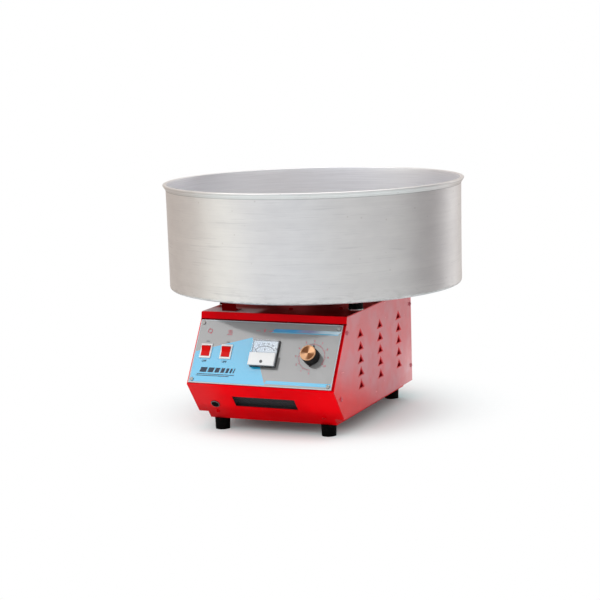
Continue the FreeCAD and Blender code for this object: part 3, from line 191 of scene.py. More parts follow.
class Tree:
    """A node tree that is filled one node at a time."""

    def __init__(self, holder):
        holder.use_nodes = True
        self.nodes = holder.node_tree.nodes
        self.links = holder.node_tree.links
        self.nodes.clear()

    def make(self, kind, settings=None, inputs=None):
        """Makes a node: its settings first, then its inputs as numbers, tuples or other nodes' values."""
        made = self.nodes.new(kind)
        for name, setting in (settings or {}).items():
            if name == "stops":
                for at, colour in setting[len(made.color_ramp.elements) :]:
                    made.color_ramp.elements.new(at)
                for stop, (at, colour) in zip(made.color_ramp.elements, setting):
                    stop.position = at
                    stop.color = (*colour, 1.0)
            else:
                setattr(made, name, setting)
        for name, value in (inputs or {}).items():
            self.feed(made.inputs[name], value)
        return made

    def node(self, kind, settings=None, inputs=None, output=0):
        """Makes a node and gives the value of one of its outputs."""
        return Value(self, self.make(kind, settings, inputs).outputs[output])

    def feed(self, socket, value):
        if isinstance(value, Value):
            self.links.new(value.socket, socket)
        elif isinstance(value, (tuple, list, Vector)) and len(value) == 3 and socket.type == "RGBA":
            socket.default_value = (*value, 1.0)
        else:
            socket.default_value = value

    def vector(self, operation, first, second=ORIGIN, output=0):
        sides = {0: first, 1: second}
        return self.node("ShaderNodeVectorMath", {"operation": operation}, sides, output)

    def joined(self, x, y, z):
        return self.node("ShaderNodeCombineXYZ", {}, {"X": x, "Y": y, "Z": z})

    def parts(self, vector):
        return [self.node("ShaderNodeSeparateXYZ", {}, {0: vector}, axis) for axis in range(3)]

    def ray(self, kind):
        """1 for rays of that kind and 0 for all others."""
        return self.node("ShaderNodeLightPath", {}, {}, f"Is {kind} Ray")

    def mix(self, share, first, second):
        """Colour first where share is 0, second where it is 1."""
        return self.node(
            "ShaderNodeMix",
            {"data_type": "RGBA", "clamp_factor": True},
            {0: share, 6: first, 7: second},
            2,
        )

    def layers(self, tone, *coats):
        """A tone under coats that are pairs of share and colour, the last one on top."""
        for share, colour in coats:
            tone = self.mix(share, tone, colour)
        return tone


class Finish(Tree):
    """One of the machine's finishes: a Principled shader with its own pattern in the row's metres."""

    def __init__(self, name, **shader):
        self.material = bpy.data.materials.new(name)
        super().__init__(self.material)
        self.shader = self.make("ShaderNodeBsdfPrincipled")
        surface = Value(self, self.shader.outputs[0])
        self.out = self.make("ShaderNodeOutputMaterial", {}, {"Surface": surface})
        for socket, value in shader.items():
            self.set(socket.replace("_", " "), value)
        self.place = self.node("ShaderNodeTexCoord", {}, {}, "Object")
        self.x, self.y, self.z = self.parts(self.place)

    def set(self, socket, value):
        self.feed(self.shader.inputs[socket], value)

    def coat(self, tone, rough, bumps=None, depth=0.0):
        """Feeds the colour, the roughness and bumps of a depth in metres, and gives the finish back."""
        self.set("Base Color", tone)
        self.set("Roughness", rough)
        if bumps:
            self.set("Normal", self.node("ShaderNodeBump", {}, {"Height": bumps, "Distance": depth}))
        return self

    def tone(self):
        """The colour that the finish has so far."""
        return Value(self, self.shader.inputs["Base Color"].links[0].from_socket)

    def grain(self, per_metre, detail=2.0, rough=0.5, place=None):
        """Noise from 0 to 1 with that many lumps a metre, as one number or one for each axis."""
        scale = per_metre if isinstance(per_metre, tuple) else (per_metre,) * 3
        stretched = self.vector("MULTIPLY", place or self.place, scale)
        return self.node(
            "ShaderNodeTexNoise",
            {"noise_dimensions": "3D"},
            {"Vector": stretched, "Scale": 1.0, "Detail": detail, "Roughness": rough},
        )

    def cells(self, per_metre, output="Distance"):
        return self.node(
            "ShaderNodeTexVoronoi",
            {"voronoi_dimensions": "3D"},
            {"Vector": self.place, "Scale": per_metre},
            output,
        )

    def from_middle(self):
        """Distance from the machine's upright middle line, in metres."""
        return (self.x * self.x + self.y * self.y).root()

    def around(self, centre, axis):
        """Distance from an axis, and height along it, in metres."""
        centre, axis = Vector(centre), Vector(axis).normalized()
        from_centre = self.vector("SUBTRACT", self.place, tuple(centre))
        along = self.vector("DOT_PRODUCT", from_centre, tuple(axis), "Value")
        crossed = self.vector("CROSS_PRODUCT", from_centre, tuple(axis))
        return self.vector("LENGTH", crossed, output="Value"), along

    def across(self):
        """How far to the right of the machine's middle, in mm."""
        return self.x * (1 / MM)

    def down(self, slope):
        """How far down a slope of the cabinet, in mm."""
        return self._from_top(slope, slope.down)

    def off(self, slope):
        """How far out from a slope of the cabinet, in mm."""
        return self._from_top(slope, slope.out)

    def _from_top(self, slope, way):
        from_top = self.vector("SUBTRACT", self.place, tuple(slope.origin))
        return self.vector("DOT_PRODUCT", from_top, tuple(way / MM), "Value")


def grey(level):
    return (level, level, level)


def shaded(colour, share):
    """A colour made darker, or brighter with a share over 1."""
    return tuple(c * share for c in colour)


def give(finish, *nodes):
    """Puts a finish on the machine's own parts."""
    for name in nodes:
        mesh = NODES[name].data
        mesh.materials.clear()
        mesh.materials.append(finish.material)


def piece(name, mesh, finish, body):
    """A new piece, in the row frame, that moves with a body."""
    made = bpy.data.objects.new(name, mesh)
    bpy.context.scene.collection.objects.link(made)
    mesh.materials.clear()
    mesh.materials.append(finish.material)
    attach(made, body)
    return made


# ---------------------------------------------------------------- finishes


def vent_marks(f, inward):
    """Painted shade round the side sheets' vents, and painted shade in the hollows of them."""
    half_rise = VENT_PITCH_Z * (VENT_ROWS - 1) / 2
    half_run = VENT_PITCH_Y * (VENT_COLUMNS - 1) / 2
    past_rows, past_columns, soft = 13.0 * MM, 16.2 * MM, 1.0 * MM
    rows = abs(f.z - (VENT_TOP_Z - half_rise)).below(half_rise + past_rows, soft)
    columns = abs(f.y - (VENT_FRONT_Y + half_run)).below(half_run + past_columns, soft)
    beside = abs(f.y.past_nearest(VENT_FRONT_Y, VENT_PITCH_Y))
    over_foot = f.z.past_nearest(VENT_TOP_Z, VENT_PITCH_Z) + VENT_HEIGHT / 2
    leaning = beside + over_foot * (VENT_HALF_WIDTH / VENT_HEIGHT)
    rim_beside, rim_under, rim_soft = 1.1 * MM, 1.7 * MM, 1.4 * MM
    rim = leaning.below(VENT_HALF_WIDTH + rim_beside, rim_soft) * over_foot.above(-rim_under, soft)
    deepest = 4.5 * MM
    hollow_shade = inward.rise(0.1 * MM, 0.6 * MM) * inward.below(deepest, 0.2 * MM)
    return rim * rows * columns, hollow_shade * rows * columns


def deck_marks(f, cloud):
    """The deck's top face, which is painted in shade, and a pale painted reflection on it beside the
    bowl's bracket.
    """
    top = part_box("cabinet_shell")[1].z
    reflection_right = -30.0 * MM
    reflection_back = -145.0 * MM
    deck = f.z.above(top - 0.4 * MM, 0.2 * MM)
    # a pale painted reflection of the bright surroundings, seen under the bowl's edge
    rub = deck * f.z.below(top + 0.8 * MM, 0.4 * MM)
    rub = rub * f.x.below(reflection_right, 8.0 * MM) * f.y.below(reflection_back, 14.0 * MM)
    return deck, rub * (0.66 + cloud * 0.5).least(1.0)


def side_haze(f, cloud):
    """Painted reflection and painted shade on the side sheets, thin low in front: its share, and its
    colour, pale low behind.
    """
    blotch = f.grain(22.0, 2.0).rise(0.35, 0.65)
    climb, climb_from = 0.35, 0.05
    high = (f.z + (f.y + climb_from) * climb).rise(0.005, 0.07)
    low_behind = f.y.rise(0.03, 0.12) * (1.0 - f.z.rise(0.07, 0.12))
    colour = f.mix(low_behind * 0.85, (0.46, 0.19, 0.22), (0.78, 0.58, 0.61))
    return high * (0.42 + cloud * 0.3 + blotch * 0.3), colour


def red_enamel(name, colour, sheen, gloss):
    """Stove enamel on folded steel: gloss with a fine orange peel and faint rubs, painted reflection and
    shade on the sides, painted shade round and in the vents and on the deck, a painted reflection on the
    deck, and a painted shadow line under the top lip.
    """
    f = Finish(name, IOR=gloss, Specular_Tint=sheen)
    peel = f.grain(700.0, 1.0) + f.grain(160.0, 1.0) * 1.5
    cloud = f.grain(14.0, 3.0)
    rub = f.grain((40.0, 40.0, 90.0), 4.0, 0.6).rise(0.62, 0.8)
    inward = NODES["cabinet_shell"].dimensions.x / 2 - abs(f.x)
    sides = inward.below(0.2 * MM, 0.1 * MM)
    haze, reflection_tone = side_haze(f, cloud)
    vent_rim_shade, hollows = vent_marks(f, inward)
    vent_rim_shade = vent_rim_shade * sides * 0.7
    deck, deck_reflection = deck_marks(f, cloud)
    # a painted shadow line at the top of the slope, under the lip
    lip_shadow_down, lip_shadow_half = 0.4, 1.5
    lip_shadow = abs(f.down(PANEL) - lip_shadow_down).below(lip_shadow_half, 0.1) * abs(f.off(PANEL)).below(0.3, 0.05)
    tone = f.layers(
        colour,
        (cloud.rise(0.35, 0.7), shaded(colour, 0.82)),
        (rub * 0.1, (0.72, 0.02, 0.02)),
        # painted reflection and shade on the side sheets, stronger higher up and towards the rear
        (sides * haze, reflection_tone),
        # painted shade round the vents: darker red over the side sheets' painted reflection
        (vent_rim_shade, (0.4, 0.0, 0.01)),
        # painted shade on the deck under the bowl
        (deck * 0.75, (0.08, 0.0, 0.001)),
        # pale painted reflection on the deck beside the bracket
        (deck_reflection, (0.7, 0.56, 0.57)),
        # painted shade in the vents' hollows
        (hollows, (0.26, 0.002, 0.01)),
        # painted shadow line under the lip
        (lip_shadow * 0.9, (0.05, 0.0, 0.001)),
    )
    f.set("Metallic", (hollows + vent_rim_shade + deck * (1.0 - deck_reflection) * 0.8).least(1.0))
    rough = 0.16 + cloud * 0.08 + rub * 0.2 + hollows * 0.7 + deck * 0.25
    return f.coat(tone, rough, peel, 0.00003)


def rim_marks(f, radius):
    """The bowl's rim: its outer flap, painted darker as shade, a painted highlight along the flap, and a
    painted shadow line at the crease under it.
    """
    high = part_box("bowl")[1]
    wall = high.x - RIM_LEAN
    up = f.z - (high.z - RIM_HEIGHT)
    flap = up.above(0.2 * MM, 0.1 * MM) * up.below(7.8 * MM, 0.6 * MM)
    flap = flap * radius.above(wall - 0.2 * MM, 0.2 * MM)
    painted_glint = abs(up - 4.5 * MM).below(0.5 * MM, 0.2 * MM) * flap
    crease = abs(up + 0.2 * MM).below(0.6 * MM, 0.3 * MM) * radius.above(wall - 0.5 * MM, 0.2 * MM)
    return flap, painted_glint, crease


def wall_marks(f, radius):
    """The bowl's inside, painted brighter as painted light, the scuffs low on its wall, its darker
    mottled foot corner, and its floor's upper face.
    """
    low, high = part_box("bowl")
    foot = high.x - RIM_LEAN - WALL_TAPER
    up = f.z - low.z
    lean = WALL_TAPER / (high.z - RIM_HEIGHT - low.z)
    inside = (radius - up * lean).below(foot - SHEET / 2, 0.2 * MM)
    outside = (1.0 - inside) * radius.above(foot - FOOT_CORNER - SHEET, 1.0 * MM)
    scuffs = f.grain((45.0, 45.0, 150.0), 4.0, 0.65).rise(0.48, 0.7) * up.below(16.0 * MM, 16.0 * MM)
    corner_mottle = f.grain(60.0, 4.0, 0.6).rise(0.4, 0.6)
    corner = up.below(4.0 * MM, 2.0 * MM) * outside * (0.2 + corner_mottle * 0.5)
    floor = up.below(7.0 * MM, 4.0 * MM) * up.above(0.8 * MM, 0.4 * MM) * (1.0 - outside)
    return inside, scuffs, corner, floor


def spun_aluminium(plain, buffed):
    """Spun and buffed sheet: streaks round the bowl, broken scratches and handling marks."""
    f = Finish("spun_aluminium", Metallic=1.0)
    radius = f.from_middle()
    lay = f.joined(f.x, f.y, f.z + radius)
    broad = f.grain((3.0, 3.0, 110.0), 4.0, 0.6, lay)
    fine = f.grain((26.0, 26.0, 1500.0), 2.0, 0.6, lay)
    scratches = f.grain((11.0, 11.0, 420.0), 3.0, 0.6, lay).above(0.64, 0.04)
    patches = f.grain(9.0, 4.0, 0.6)
    smears = f.grain((30.0, 30.0, 45.0), 3.0).rise(0.35, 0.7)
    specks = f.cells(46.0).below(0.07, 0.03)
    flap, painted_glint, crease = rim_marks(f, radius)
    inside, scuffs, corner, floor = wall_marks(f, radius)
    inside_lines = f.grain((14.0, 14.0, 800.0), 2.0, 0.5).rise(0.35, 0.65)
    floor_rings = f.grain((1.0, 1.0, 900.0), 3.0, 0.6, lay)
    tone = f.layers(
        f.mix(broad.rise(0.3, 0.7), plain, buffed),
        (patches.rise(0.45, 0.75) * 0.2, (0.72, 0.71, 0.7)),
        (smears * 0.3, (0.7, 0.7, 0.71)),
        (scratches * 0.3, (0.55, 0.55, 0.56)),
        (specks * 0.35, (0.5, 0.48, 0.46)),
        (fine.rise(0.35, 0.75) * 0.25, (0.9, 0.9, 0.89)),
        # painted shade on the rim's outer flap
        (flap * 0.38, grey(0.5)),
        # painted highlight along the flap
        (painted_glint * 0.6, grey(0.9)),
        # painted shadow line at the crease under the rim
        (crease * 0.42, (0.2, 0.2, 0.21)),
        # the bowl's inside painted paler than its outside: painted light
        (inside, f.mix(inside_lines * 0.5, (0.98, 0.98, 1.0), (0.86, 0.86, 0.88))),
        (scuffs * 0.3, (0.46, 0.46, 0.45)),
        # darker and mottled at the outside of the foot corner
        (corner, (0.3, 0.29, 0.28)),
        (floor, f.mix(floor_rings, (0.46, 0.46, 0.47), (0.64, 0.64, 0.65))),
    )
    rough = 0.3 + patches * 0.16 + fine * 0.08 + scratches * 0.06 + floor * 0.12
    return f.coat(tone, rough, fine * 0.6 + broad * 0.15 + scratches * 0.5, 0.0001)


def turned_metal(name, colour, rough=0.24, pitch=0.0004, centre=ORIGIN, axis=UPRIGHT):
    """Metal that was turned: grooves of that pitch in metres round an axis, with a soft haze."""
    f = Finish(name, Metallic=1.0)
    radius, along = f.around(centre, axis)
    lumps_a_groove = 0.35
    ring = f.joined((radius + along) * (lumps_a_groove / pitch), 0.0, 0.0)
    grooves = f.grain(1.0, 2.0, 0.6, ring)
    tone = f.mix(grooves.rise(0.3, 0.75) * 0.8, colour, shaded(colour, 0.8))
    return f.coat(tone, rough + grooves * 0.12 + f.grain(90.0, 3.0) * 0.1, grooves, 0.00005)


def cast_aluminium():
    """Cast metal with a fine pebbled skin and darker pores."""
    f = Finish("cast_aluminium", Metallic=1.0)
    skin = f.grain(900.0, 3.0)
    pores = f.cells(380.0).below(0.2, 0.1)
    tone = f.mix(f.grain(40.0).rise(0.3, 0.7), (0.62, 0.62, 0.61), grey(0.52))
    tone = f.mix(pores * 0.6, tone, grey(0.3))
    return f.coat(tone, 0.42 + skin * 0.18, skin - pores, 0.0001)


def plated_steel(name, colour, rough=0.3):
    """Plated steel: fine crystals, a slight straw tint in places, and dulled spots."""
    f = Finish(name, Metallic=1.0)
    crystals = f.node("ShaderNodeRGBToBW", {}, {0: f.cells(900.0, "Color")})
    straw = (colour[0], colour[1] * 0.96, colour[2] * 0.86)
    tone = f.mix(f.grain(120.0, 2.0).rise(0.4, 0.65), colour, straw)
    tone = f.mix(crystals * 0.3, tone, shaded(colour, 0.7))
    return f.coat(tone, rough + crystals * 0.12, f.grain(1500.0, 1.0), 0.00003)


def plain_plastic(name, colour, rough, shade=0.85, **shader):
    """Moulded plastic with a fine spark texture and slight flow marks."""
    f = Finish(name, **shader)
    spark = f.grain(2200.0, 1.0)
    flow = f.grain((45.0, 45.0, 150.0), 3.0)
    tone = f.mix(flow.rise(0.3, 0.75), colour, shaded(colour, shade))
    return f.coat(tone, rough + flow * 0.08 + spark * 0.06, spark, 0.00003)


def black_rubber():
    """Moulded rubber: a dull skin with pale dust in its pores."""
    f = Finish("black_rubber", IOR=1.12)
    skin = f.grain(1300.0, 3.0)
    dust = f.grain(220.0, 4.0).rise(0.5, 0.75)
    tone = f.mix(dust * 0.4, grey(0.0015), (0.009, 0.008, 0.008))
    return f.coat(tone, 0.5 + skin * 0.15, skin, 0.00008)


def print_film(colours):
    """Glossy printed film: a grey ground, a pale blue field, slanted bars and border lines, in mm."""
    f = Finish("print_film", IOR=1.7)
    across, down = f.across(), f.down(PANEL)
    ground, blue, deep = tuple(colours.film_grey), tuple(colours.film_blue), tuple(colours.film_deep)
    soft = 0.12

    def level_bar(middle, half):
        return abs(down - middle).below(half, soft)

    def part_of(slant, start, end):
        return slant.above(start, soft) * slant.below(end, soft)

    # the field lies under a line that climbs to the right, and left of one that drops steeply
    under_climb = (down + across * 0.302 - 20.9).above(0.0, soft)
    left_of_drop = (across - down * 0.473 + 44.2).below(0.0, soft)
    foot_bar = level_bar(107.0, 3.0) * (across + down * 0.5).above(62.0, soft)
    slant = across + down * 1.2
    stripe = level_bar(15.8, 2.6) * part_of(slant, 24.0, 142.0)
    stripe_tone = f.layers(
        deep,
        (slant.rise(60.0, 84.0), (0.16, 0.17, 0.3)),
        (slant.rise(88.0, 120.0), (0.36, 0.5, 0.58)),
    )
    under_stripe = level_bar(19.4, 1.0) * part_of(slant, 26.0, 144.0)

    plate = [corner.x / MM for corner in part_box("panel_overlay")]
    plate_top, plate_foot = 2.0, 114.5
    inset = (across - plate[0]).least(plate[1] - across).least(down - plate_top).least(plate_foot - down)
    border = inset.below(1.7, 0.1)
    border_line = abs(inset - 1.9).below(0.22, 0.08)
    tone = f.layers(
        ground,
        (f.grain(7.0, 1.0).rise(0.35, 0.65), shaded(ground, 0.9)),
        (under_climb * left_of_drop, blue),
        (foot_bar, blue),
        (stripe, stripe_tone),
        (under_stripe * 0.7, blue),
        (border, (0.3, 0.33, 0.35)),
        (border_line, (0.08, 0.1, 0.13)),
    )
    return f.coat(tone, 0.1 + f.grain(60.0, 3.0) * 0.08, f.grain(420.0, 1.0), 0.00002)


def dial_card():
    """Dial card: white with a pale blue tint that deepens to one side, and a paper tooth."""
    f = Finish("dial_card")
    tint = (f.across() * 0.02 + f.down(PANEL) * 0.012).rise(0.2, 1.1)
    tooth = f.grain(1800.0, 3.0)
    tone = f.mix(tint, (0.66, 0.76, 0.88), (0.76, 0.82, 0.88))
    return f.coat(f.mix(tooth * 0.12, tone, (0.6, 0.68, 0.78)), 0.5, tooth, 0.00002)


def clear_plastic():
    """Clear moulded front: mostly see-through, with a gloss and faint fine scratches."""
    f = Finish("clear_plastic", IOR=1.49)
    scratches = f.grain((1400.0, 40.0, 40.0), 2.0).above(0.68, 0.05)
    f.set("Alpha", 0.13 + scratches * 0.12)
    return f.coat((0.9, 0.95, 1.0), 0.04 + scratches * 0.2, f.grain(200.0, 1.0), 0.00002)


def fuse_glass():
    """The fuse's glass, with cloudy smears of sealing cement."""
    f = Finish("fuse_glass", IOR=1.5)
    smear = f.grain(260.0, 2.0).rise(0.4, 0.8)
    f.set("Alpha", 0.3 + smear * 0.2)
    return f.coat((0.85, 0.9, 0.9), 0.05 + smear * 0.15)


def filter_foam():
    """Open cell foam: dark slate webs round blacker holes."""
    f = Finish("filter_foam", Sheen_Weight=0.15)
    webs = f.cells(420.0)
    tone = f.mix(webs.rise(0.15, 0.6), (0.002, 0.002, 0.003), (0.008, 0.008, 0.013))
    return f.coat(tone, 0.85, webs, 0.0008)


def white_ceramic():
    """Unglazed insulator body, scorched brown in patches."""
    f = Finish("white_ceramic")
    scorch = f.grain(140.0, 4.0).rise(0.5, 0.8)
    tone = f.mix(scorch * 0.5, (0.82, 0.8, 0.75), (0.55, 0.48, 0.38))
    return f.coat(tone, 0.35 + scorch * 0.3, f.grain(1100.0, 2.0), 0.00005)


def heater_sheath():
    """Heater tube that has been hot: bands of straw and blue over dark grey."""
    f = Finish("heater_sheath", Metallic=1.0)
    heat = f.grain(55.0, 3.0)
    tone = f.layers(
        (0.2, 0.19, 0.19),
        (heat.rise(0.3, 0.5), (0.34, 0.25, 0.15)),
        (heat.rise(0.5, 0.7), (0.16, 0.18, 0.3)),
    )
    return f.coat(tone, 0.4 + heat * 0.2, f.grain(900.0, 2.0), 0.00006)


def laminated_iron():
    """Stacked iron sheets: fine lines across the stack, with light rust in the joints."""
    f = Finish("iron", Metallic=0.8)
    sheet = 0.0008
    sheets = abs(f.z.repeat(sheet) * (1 / sheet) - 0.5)
    rust = f.grain(180.0, 4.0).rise(0.55, 0.75)
    tone = f.mix(sheets.rise(0.3, 0.5), (0.2, 0.2, 0.21), (0.08, 0.08, 0.085))
    return f.coat(f.mix(rust * 0.5, tone, (0.16, 0.07, 0.035)), 0.45 + rust * 0.3, sheets, 0.00012)


def wound_copper():
    """Enamelled wire laid side by side, with the shine of varnish."""
    f = Finish("copper", Metallic=0.85)
    radius, along = f.around(ORIGIN, UPRIGHT)
    wire = 0.0007
    strand = abs((radius * 0.6 + along).repeat(wire) * (1 / wire) - 0.5)
    varnish = f.grain(160.0, 3.0)
    tone = f.mix(varnish.rise(0.3, 0.7), (0.5, 0.17, 0.06), (0.62, 0.26, 0.1))
    tone = f.mix(strand.rise(0.3, 0.5), tone, (0.12, 0.04, 0.02))
    return f.coat(tone, 0.25 + varnish * 0.15, 1.0 - strand, 0.0003)


def pressed(name, dark, light, rough):
    """Pressed resin or carbon: mottled, with a dull grain."""
    f = Finish(name)
    mottle = f.grain(300.0, 5.0, 0.7)
    tone = f.mix(mottle.rise(0.35, 0.7), dark, light)
    return f.coat(tone, rough + mottle * 0.15, f.grain(1500.0, 2.0), 0.00006)


def painted_motor():
    """Sprayed dark grey paint under a film of dust."""
    f = Finish("motor_paint", IOR=1.5)
    dust = f.grain(60.0, 4.0).rise(0.5, 0.8)
    tone = f.mix(dust * 0.4, (0.03, 0.033, 0.036), (0.1, 0.1, 0.095))
    return f.coat(tone, 0.35 + dust * 0.25, f.grain(800.0, 2.0), 0.00006)


# ---------------------------------------------------------------- shapes


def bearing(degrees, reach=1.0):
    """A point of a dial, by its bearing clockwise from straight up and its distance from the middle."""
    t = math.radians(degrees)
    return Vector((math.sin(t) * reach, math.cos(t) * reach))


class Ink:
    """Print on the panel: closed flat shapes drawn in mm, with X across and Y up from a middle point."""

    def __init__(self, across, down, out):
        self.place = PANEL.matrix(across, down, out)
        self.mesh = bmesh.new()

    def shape(self, outline):
        """A flat shape, by its outline."""
        foot = [self.mesh.verts.new((x, y, -PRINT_SUNK)) for x, y in outline]
        top = [self.mesh.verts.new((x, y, PRINT_THICK)) for x, y in outline]
        self.mesh.faces.new(foot[::-1])
        self.mesh.faces.new(top)
        for i in range(len(outline)):
            j = (i + 1) % len(outline)
            self.mesh.faces.new((foot[i], foot[j], top[j], top[i]))

    def stroke(self, points, width):
        """A line of one width through the points, with mitred corners."""
        points = [Vector(p) for p in points]
        runs = [(b - a).normalized() for a, b in zip(points, points[1:])]
        sharpest = 0.3
        edges = []
        for point, before, after in zip(points, [runs[0]] + runs, runs + [runs[-1]]):
            way = (before + after).normalized()
            side = Vector((-way.y, way.x))
            reach = width / 2 / max(sharpest, abs(side.dot(Vector((-before.y, before.x)))))
            edges.append((point - side * reach, point + side * reach))
        for (right, left), (next_right, next_left) in zip(edges, edges[1:]):
            self.shape([right, next_right, next_left, left])

    def arc(self, radius, start, end, width, steps):
        """Part of a ring, from one bearing to another."""
        bearings = [start + (end - start) * i / steps for i in range(steps + 1)]
        inner, outer = radius - width / 2, radius + width / 2
        for a, b in zip(bearings, bearings[1:]):
            self.shape([bearing(b, inner), bearing(b, outer), bearing(a, outer), bearing(a, inner)])

    def scale(self, radius, start, end, parts, long, short):
        """Marks outward from a radius between two bearings, of which every fifth is long and thick."""
        for i in range(parts + 1):
            length, width = (long, 0.8) if i % 5 == 0 else (short, 0.45)
            way = bearing(start + (end - start) * i / parts)
            self.stroke([way * radius, way * (radius + length)], width)

    def words(self, text, x, y, size, bold, turn=0.0):
        """Words round a middle point, with bold as the widening of each letter's edge."""
        curve = bpy.data.curves.new("words", "FONT")
        curve.body = text
        curve.size = size
        curve.align_x = "CENTER"
        curve.align_y = "CENTER"
        curve.extrude = (PRINT_THICK + PRINT_SUNK) / 2
        curve.resolution_u = 4
        curve.offset = bold
        drawn = bpy.data.objects.new("words", curve)
        mesh = bpy.data.meshes.new_from_object(drawn)
        lift = Matrix.Translation((x, y, (PRINT_THICK - PRINT_SUNK) / 2))
        mesh.transform(lift @ Matrix.Rotation(turn, 4, "Z"))
        self.mesh.from_mesh(mesh)
        bpy.data.objects.remove(drawn)
        bpy.data.curves.remove(curve)
        bpy.data.meshes.remove(mesh)

    def done(self, name, finish):
        """Lays the print on the panel as one piece of the standing body."""
        bmesh.ops.transform(self.mesh, matrix=self.place, verts=self.mesh.verts)
        bmesh.ops.remove_doubles(self.mesh, verts=self.mesh.verts, dist=1e-9)
        return piece(name, to_mesh(name, self.mesh, smooth=False), finish, "base")


def to_mesh(name, built, smooth=True):
    """The built shape as a mesh, with its faces turned outward."""
    bmesh.ops.recalc_face_normals(built, faces=built.faces)
    for face in built.faces:
        face.smooth = smooth
    mesh = bpy.data.meshes.new(name)
    built.to_mesh(mesh)
    built.free()
    return mesh


def turned(name, outline, turns, place=None, wobble=None, sharp=25.0):
    """A closed outline of (radius, height) turned about Z, with crisp folds where it bends sharply."""
    built = bmesh.new()
    rings = []
    for k in range(turns):
        t = math.tau * k / turns
        ring = []
        for radius, height in outline:
            if wobble:
                radius -= wobble(t, height)
            ring.append(built.verts.new((radius * math.cos(t), radius * math.sin(t), height)))
        rings.append(ring)
    count = len(outline)
    for k in range(turns):
        a, b = rings[k], rings[(k + 1) % turns]
        for i in range(count):
            j = (i + 1) % count
            built.faces.new((a[i], b[i], b[j], a[j]))
    bmesh.ops.remove_doubles(built, verts=built.verts, dist=1e-7)
    if place:
        bmesh.ops.transform(built, matrix=place, verts=built.verts)
    mesh = to_mesh(name, built)
    mesh.set_sharp_from_angle(angle=math.radians(sharp))
    return mesh


def bend(centre, radius, start, end, steps):
    """Points of an arc in an outline, by bearings from straight outward towards straight up."""
    angles = [math.radians(start + (end - start) * i / steps) for i in range(steps + 1)]
    return [(centre[0] + radius * math.cos(a), centre[1] + radius * math.sin(a)) for a in angles]


def between(start, end, steps):
    """Points that part the straight line from start to end into equal steps, without its ends."""
    return [tuple(a + (b - a) * i / steps for a, b in zip(start, end)) for i in range(1, steps)]


def tube(name, points, radius, sides):
    """A round wire through the points, with capped ends."""
    built = bmesh.new()
    rings = []
    way = (points[1] - points[0]).normalized()
    side = way.orthogonal().normalized()
    for i, p in enumerate(points):
        after = points[min(i + 1, len(points) - 1)]
        before = points[max(i - 1, 0)]
        way = (after - before).normalized()
        side = (side - way * side.dot(way)).normalized()
        up = way.cross(side)
        corners = [math.tau * k / sides for k in range(sides)]
        ring = [p + (side * math.cos(t) + up * math.sin(t)) * radius for t in corners]
        rings.append([built.verts.new(corner) for corner in ring])
    for a, b in zip(rings, rings[1:]):
        for k in range(sides):
            m = (k + 1) % sides
            built.faces.new((a[k], a[m], b[m], b[k]))
    built.faces.new(rings[0][::-1])
    built.faces.new(rings[-1])
    return to_mesh(name, built)


# ---------------------------------------------------------------- what a user may change


def a_colour(label, about, default):
    return bpy.props.FloatVectorProperty(
        name=label, description=about, subtype="COLOR", default=default, min=0.0, max=1.0
    )


def a_size(label, about, default, low, high):
    """A size in mm, which Blender has no unit for."""
    return bpy.props.FloatProperty(name=label, description=about, default=default, min=low, max=high)


def an_angle(label, about, degrees):
    return bpy.props.FloatProperty(
        name=label, description=about, subtype="ANGLE", default=math.radians(degrees)
    )


class FlossColours(bpy.types.PropertyGroup):
    """Colours of the enamel, the bowl, the printed film and the print on it"""

    enamel: a_colour("Enamel", "Stove enamel of the cabinet", (0.66, 0.0, 0.003))
    enamel_sheen: a_colour("Enamel sheen", "Tint of the enamel's face-on reflection", (1.0, 0.02, 0.03))
    aluminium: a_colour("Aluminium", "Spun aluminium of the bowl", (0.79, 0.79, 0.785))
    aluminium_light: a_colour("Aluminium, buffed", "Buffed streaks of the bowl", (0.83, 0.83, 0.825))
    film_grey: a_colour("Film grey", "Ground of the printed film", grey(0.2))
    film_blue: a_colour("Film blue", "Pale blue field of the printed film", (0.0, 0.34, 0.58))
    film_deep: a_colour("Film deep blue", "Stripe near the top of the film", (0.0, 0.2, 0.45))
    print_red: a_colour("Red print", "Signs and the knob's dial", (0.42, 0.03, 0.06))
    print_dark: a_colour("Dark print", "ON and OFF, and the dark lines", (0.004, 0.025, 0.06))


class FlossPrint(bpy.types.PropertyGroup):
    """Sizes of the printed dials and signs"""

    ring: a_size("Dial ring", "Radius of the knob's dial line, mm", 22.0, 18.0, 40.0)
    numbers: a_size("Number ring", "Radius on which the knob's numbers stand, mm", 28.4, 20.0, 45.0)
    figure: a_size("Figure size", "Height of the knob's numbers, mm", 4.8, 1.0, 8.0)
    sign: a_size("Sign size", "Half width of the signs over the switches, mm", 3.6, 1.0, 8.0)
    scale: a_size("Meter scale", "Radius of the meter's scale line, mm", 23.6, 15.0, 28.0)


class FlossStage(bpy.types.PropertyGroup):
    """Where the camera stands, and the floor and the light"""

    azimuth: an_angle("Azimuth", "Where the camera stands round the machine", 23.135)
    elevation: an_angle("Elevation", "How far the camera looks down", 8.93)
    roll: an_angle("Roll", "How far the camera leans", -1.675)
    camera: bpy.props.FloatVectorProperty(
        name="Camera", description="Where the camera stands", subtype="TRANSLATION", unit="LENGTH",
        default=(1.1349, -2.6934, 0.6510),
    )
    lens: a_size("Lens", "Focal length, mm", 101.53, 10.0, 1000.0)
    shift: bpy.props.FloatProperty(name="Shift", description="Sideways lens shift", default=-0.01366)
    floor: bpy.props.FloatProperty(
        name="Floor", description="Radius of the pale floor", default=0.62, min=0.5, unit="LENGTH"
    )
    lamp: bpy.props.FloatProperty(
        name="Lamp", description="Power of the main soft lamp, W", default=13.0, min=0.0
    )
    fill: bpy.props.FloatProperty(
        name="Surroundings", description="Strength of the studio's soft light", default=0.8, min=0.0
    )


# ---------------------------------------------------------------- operators


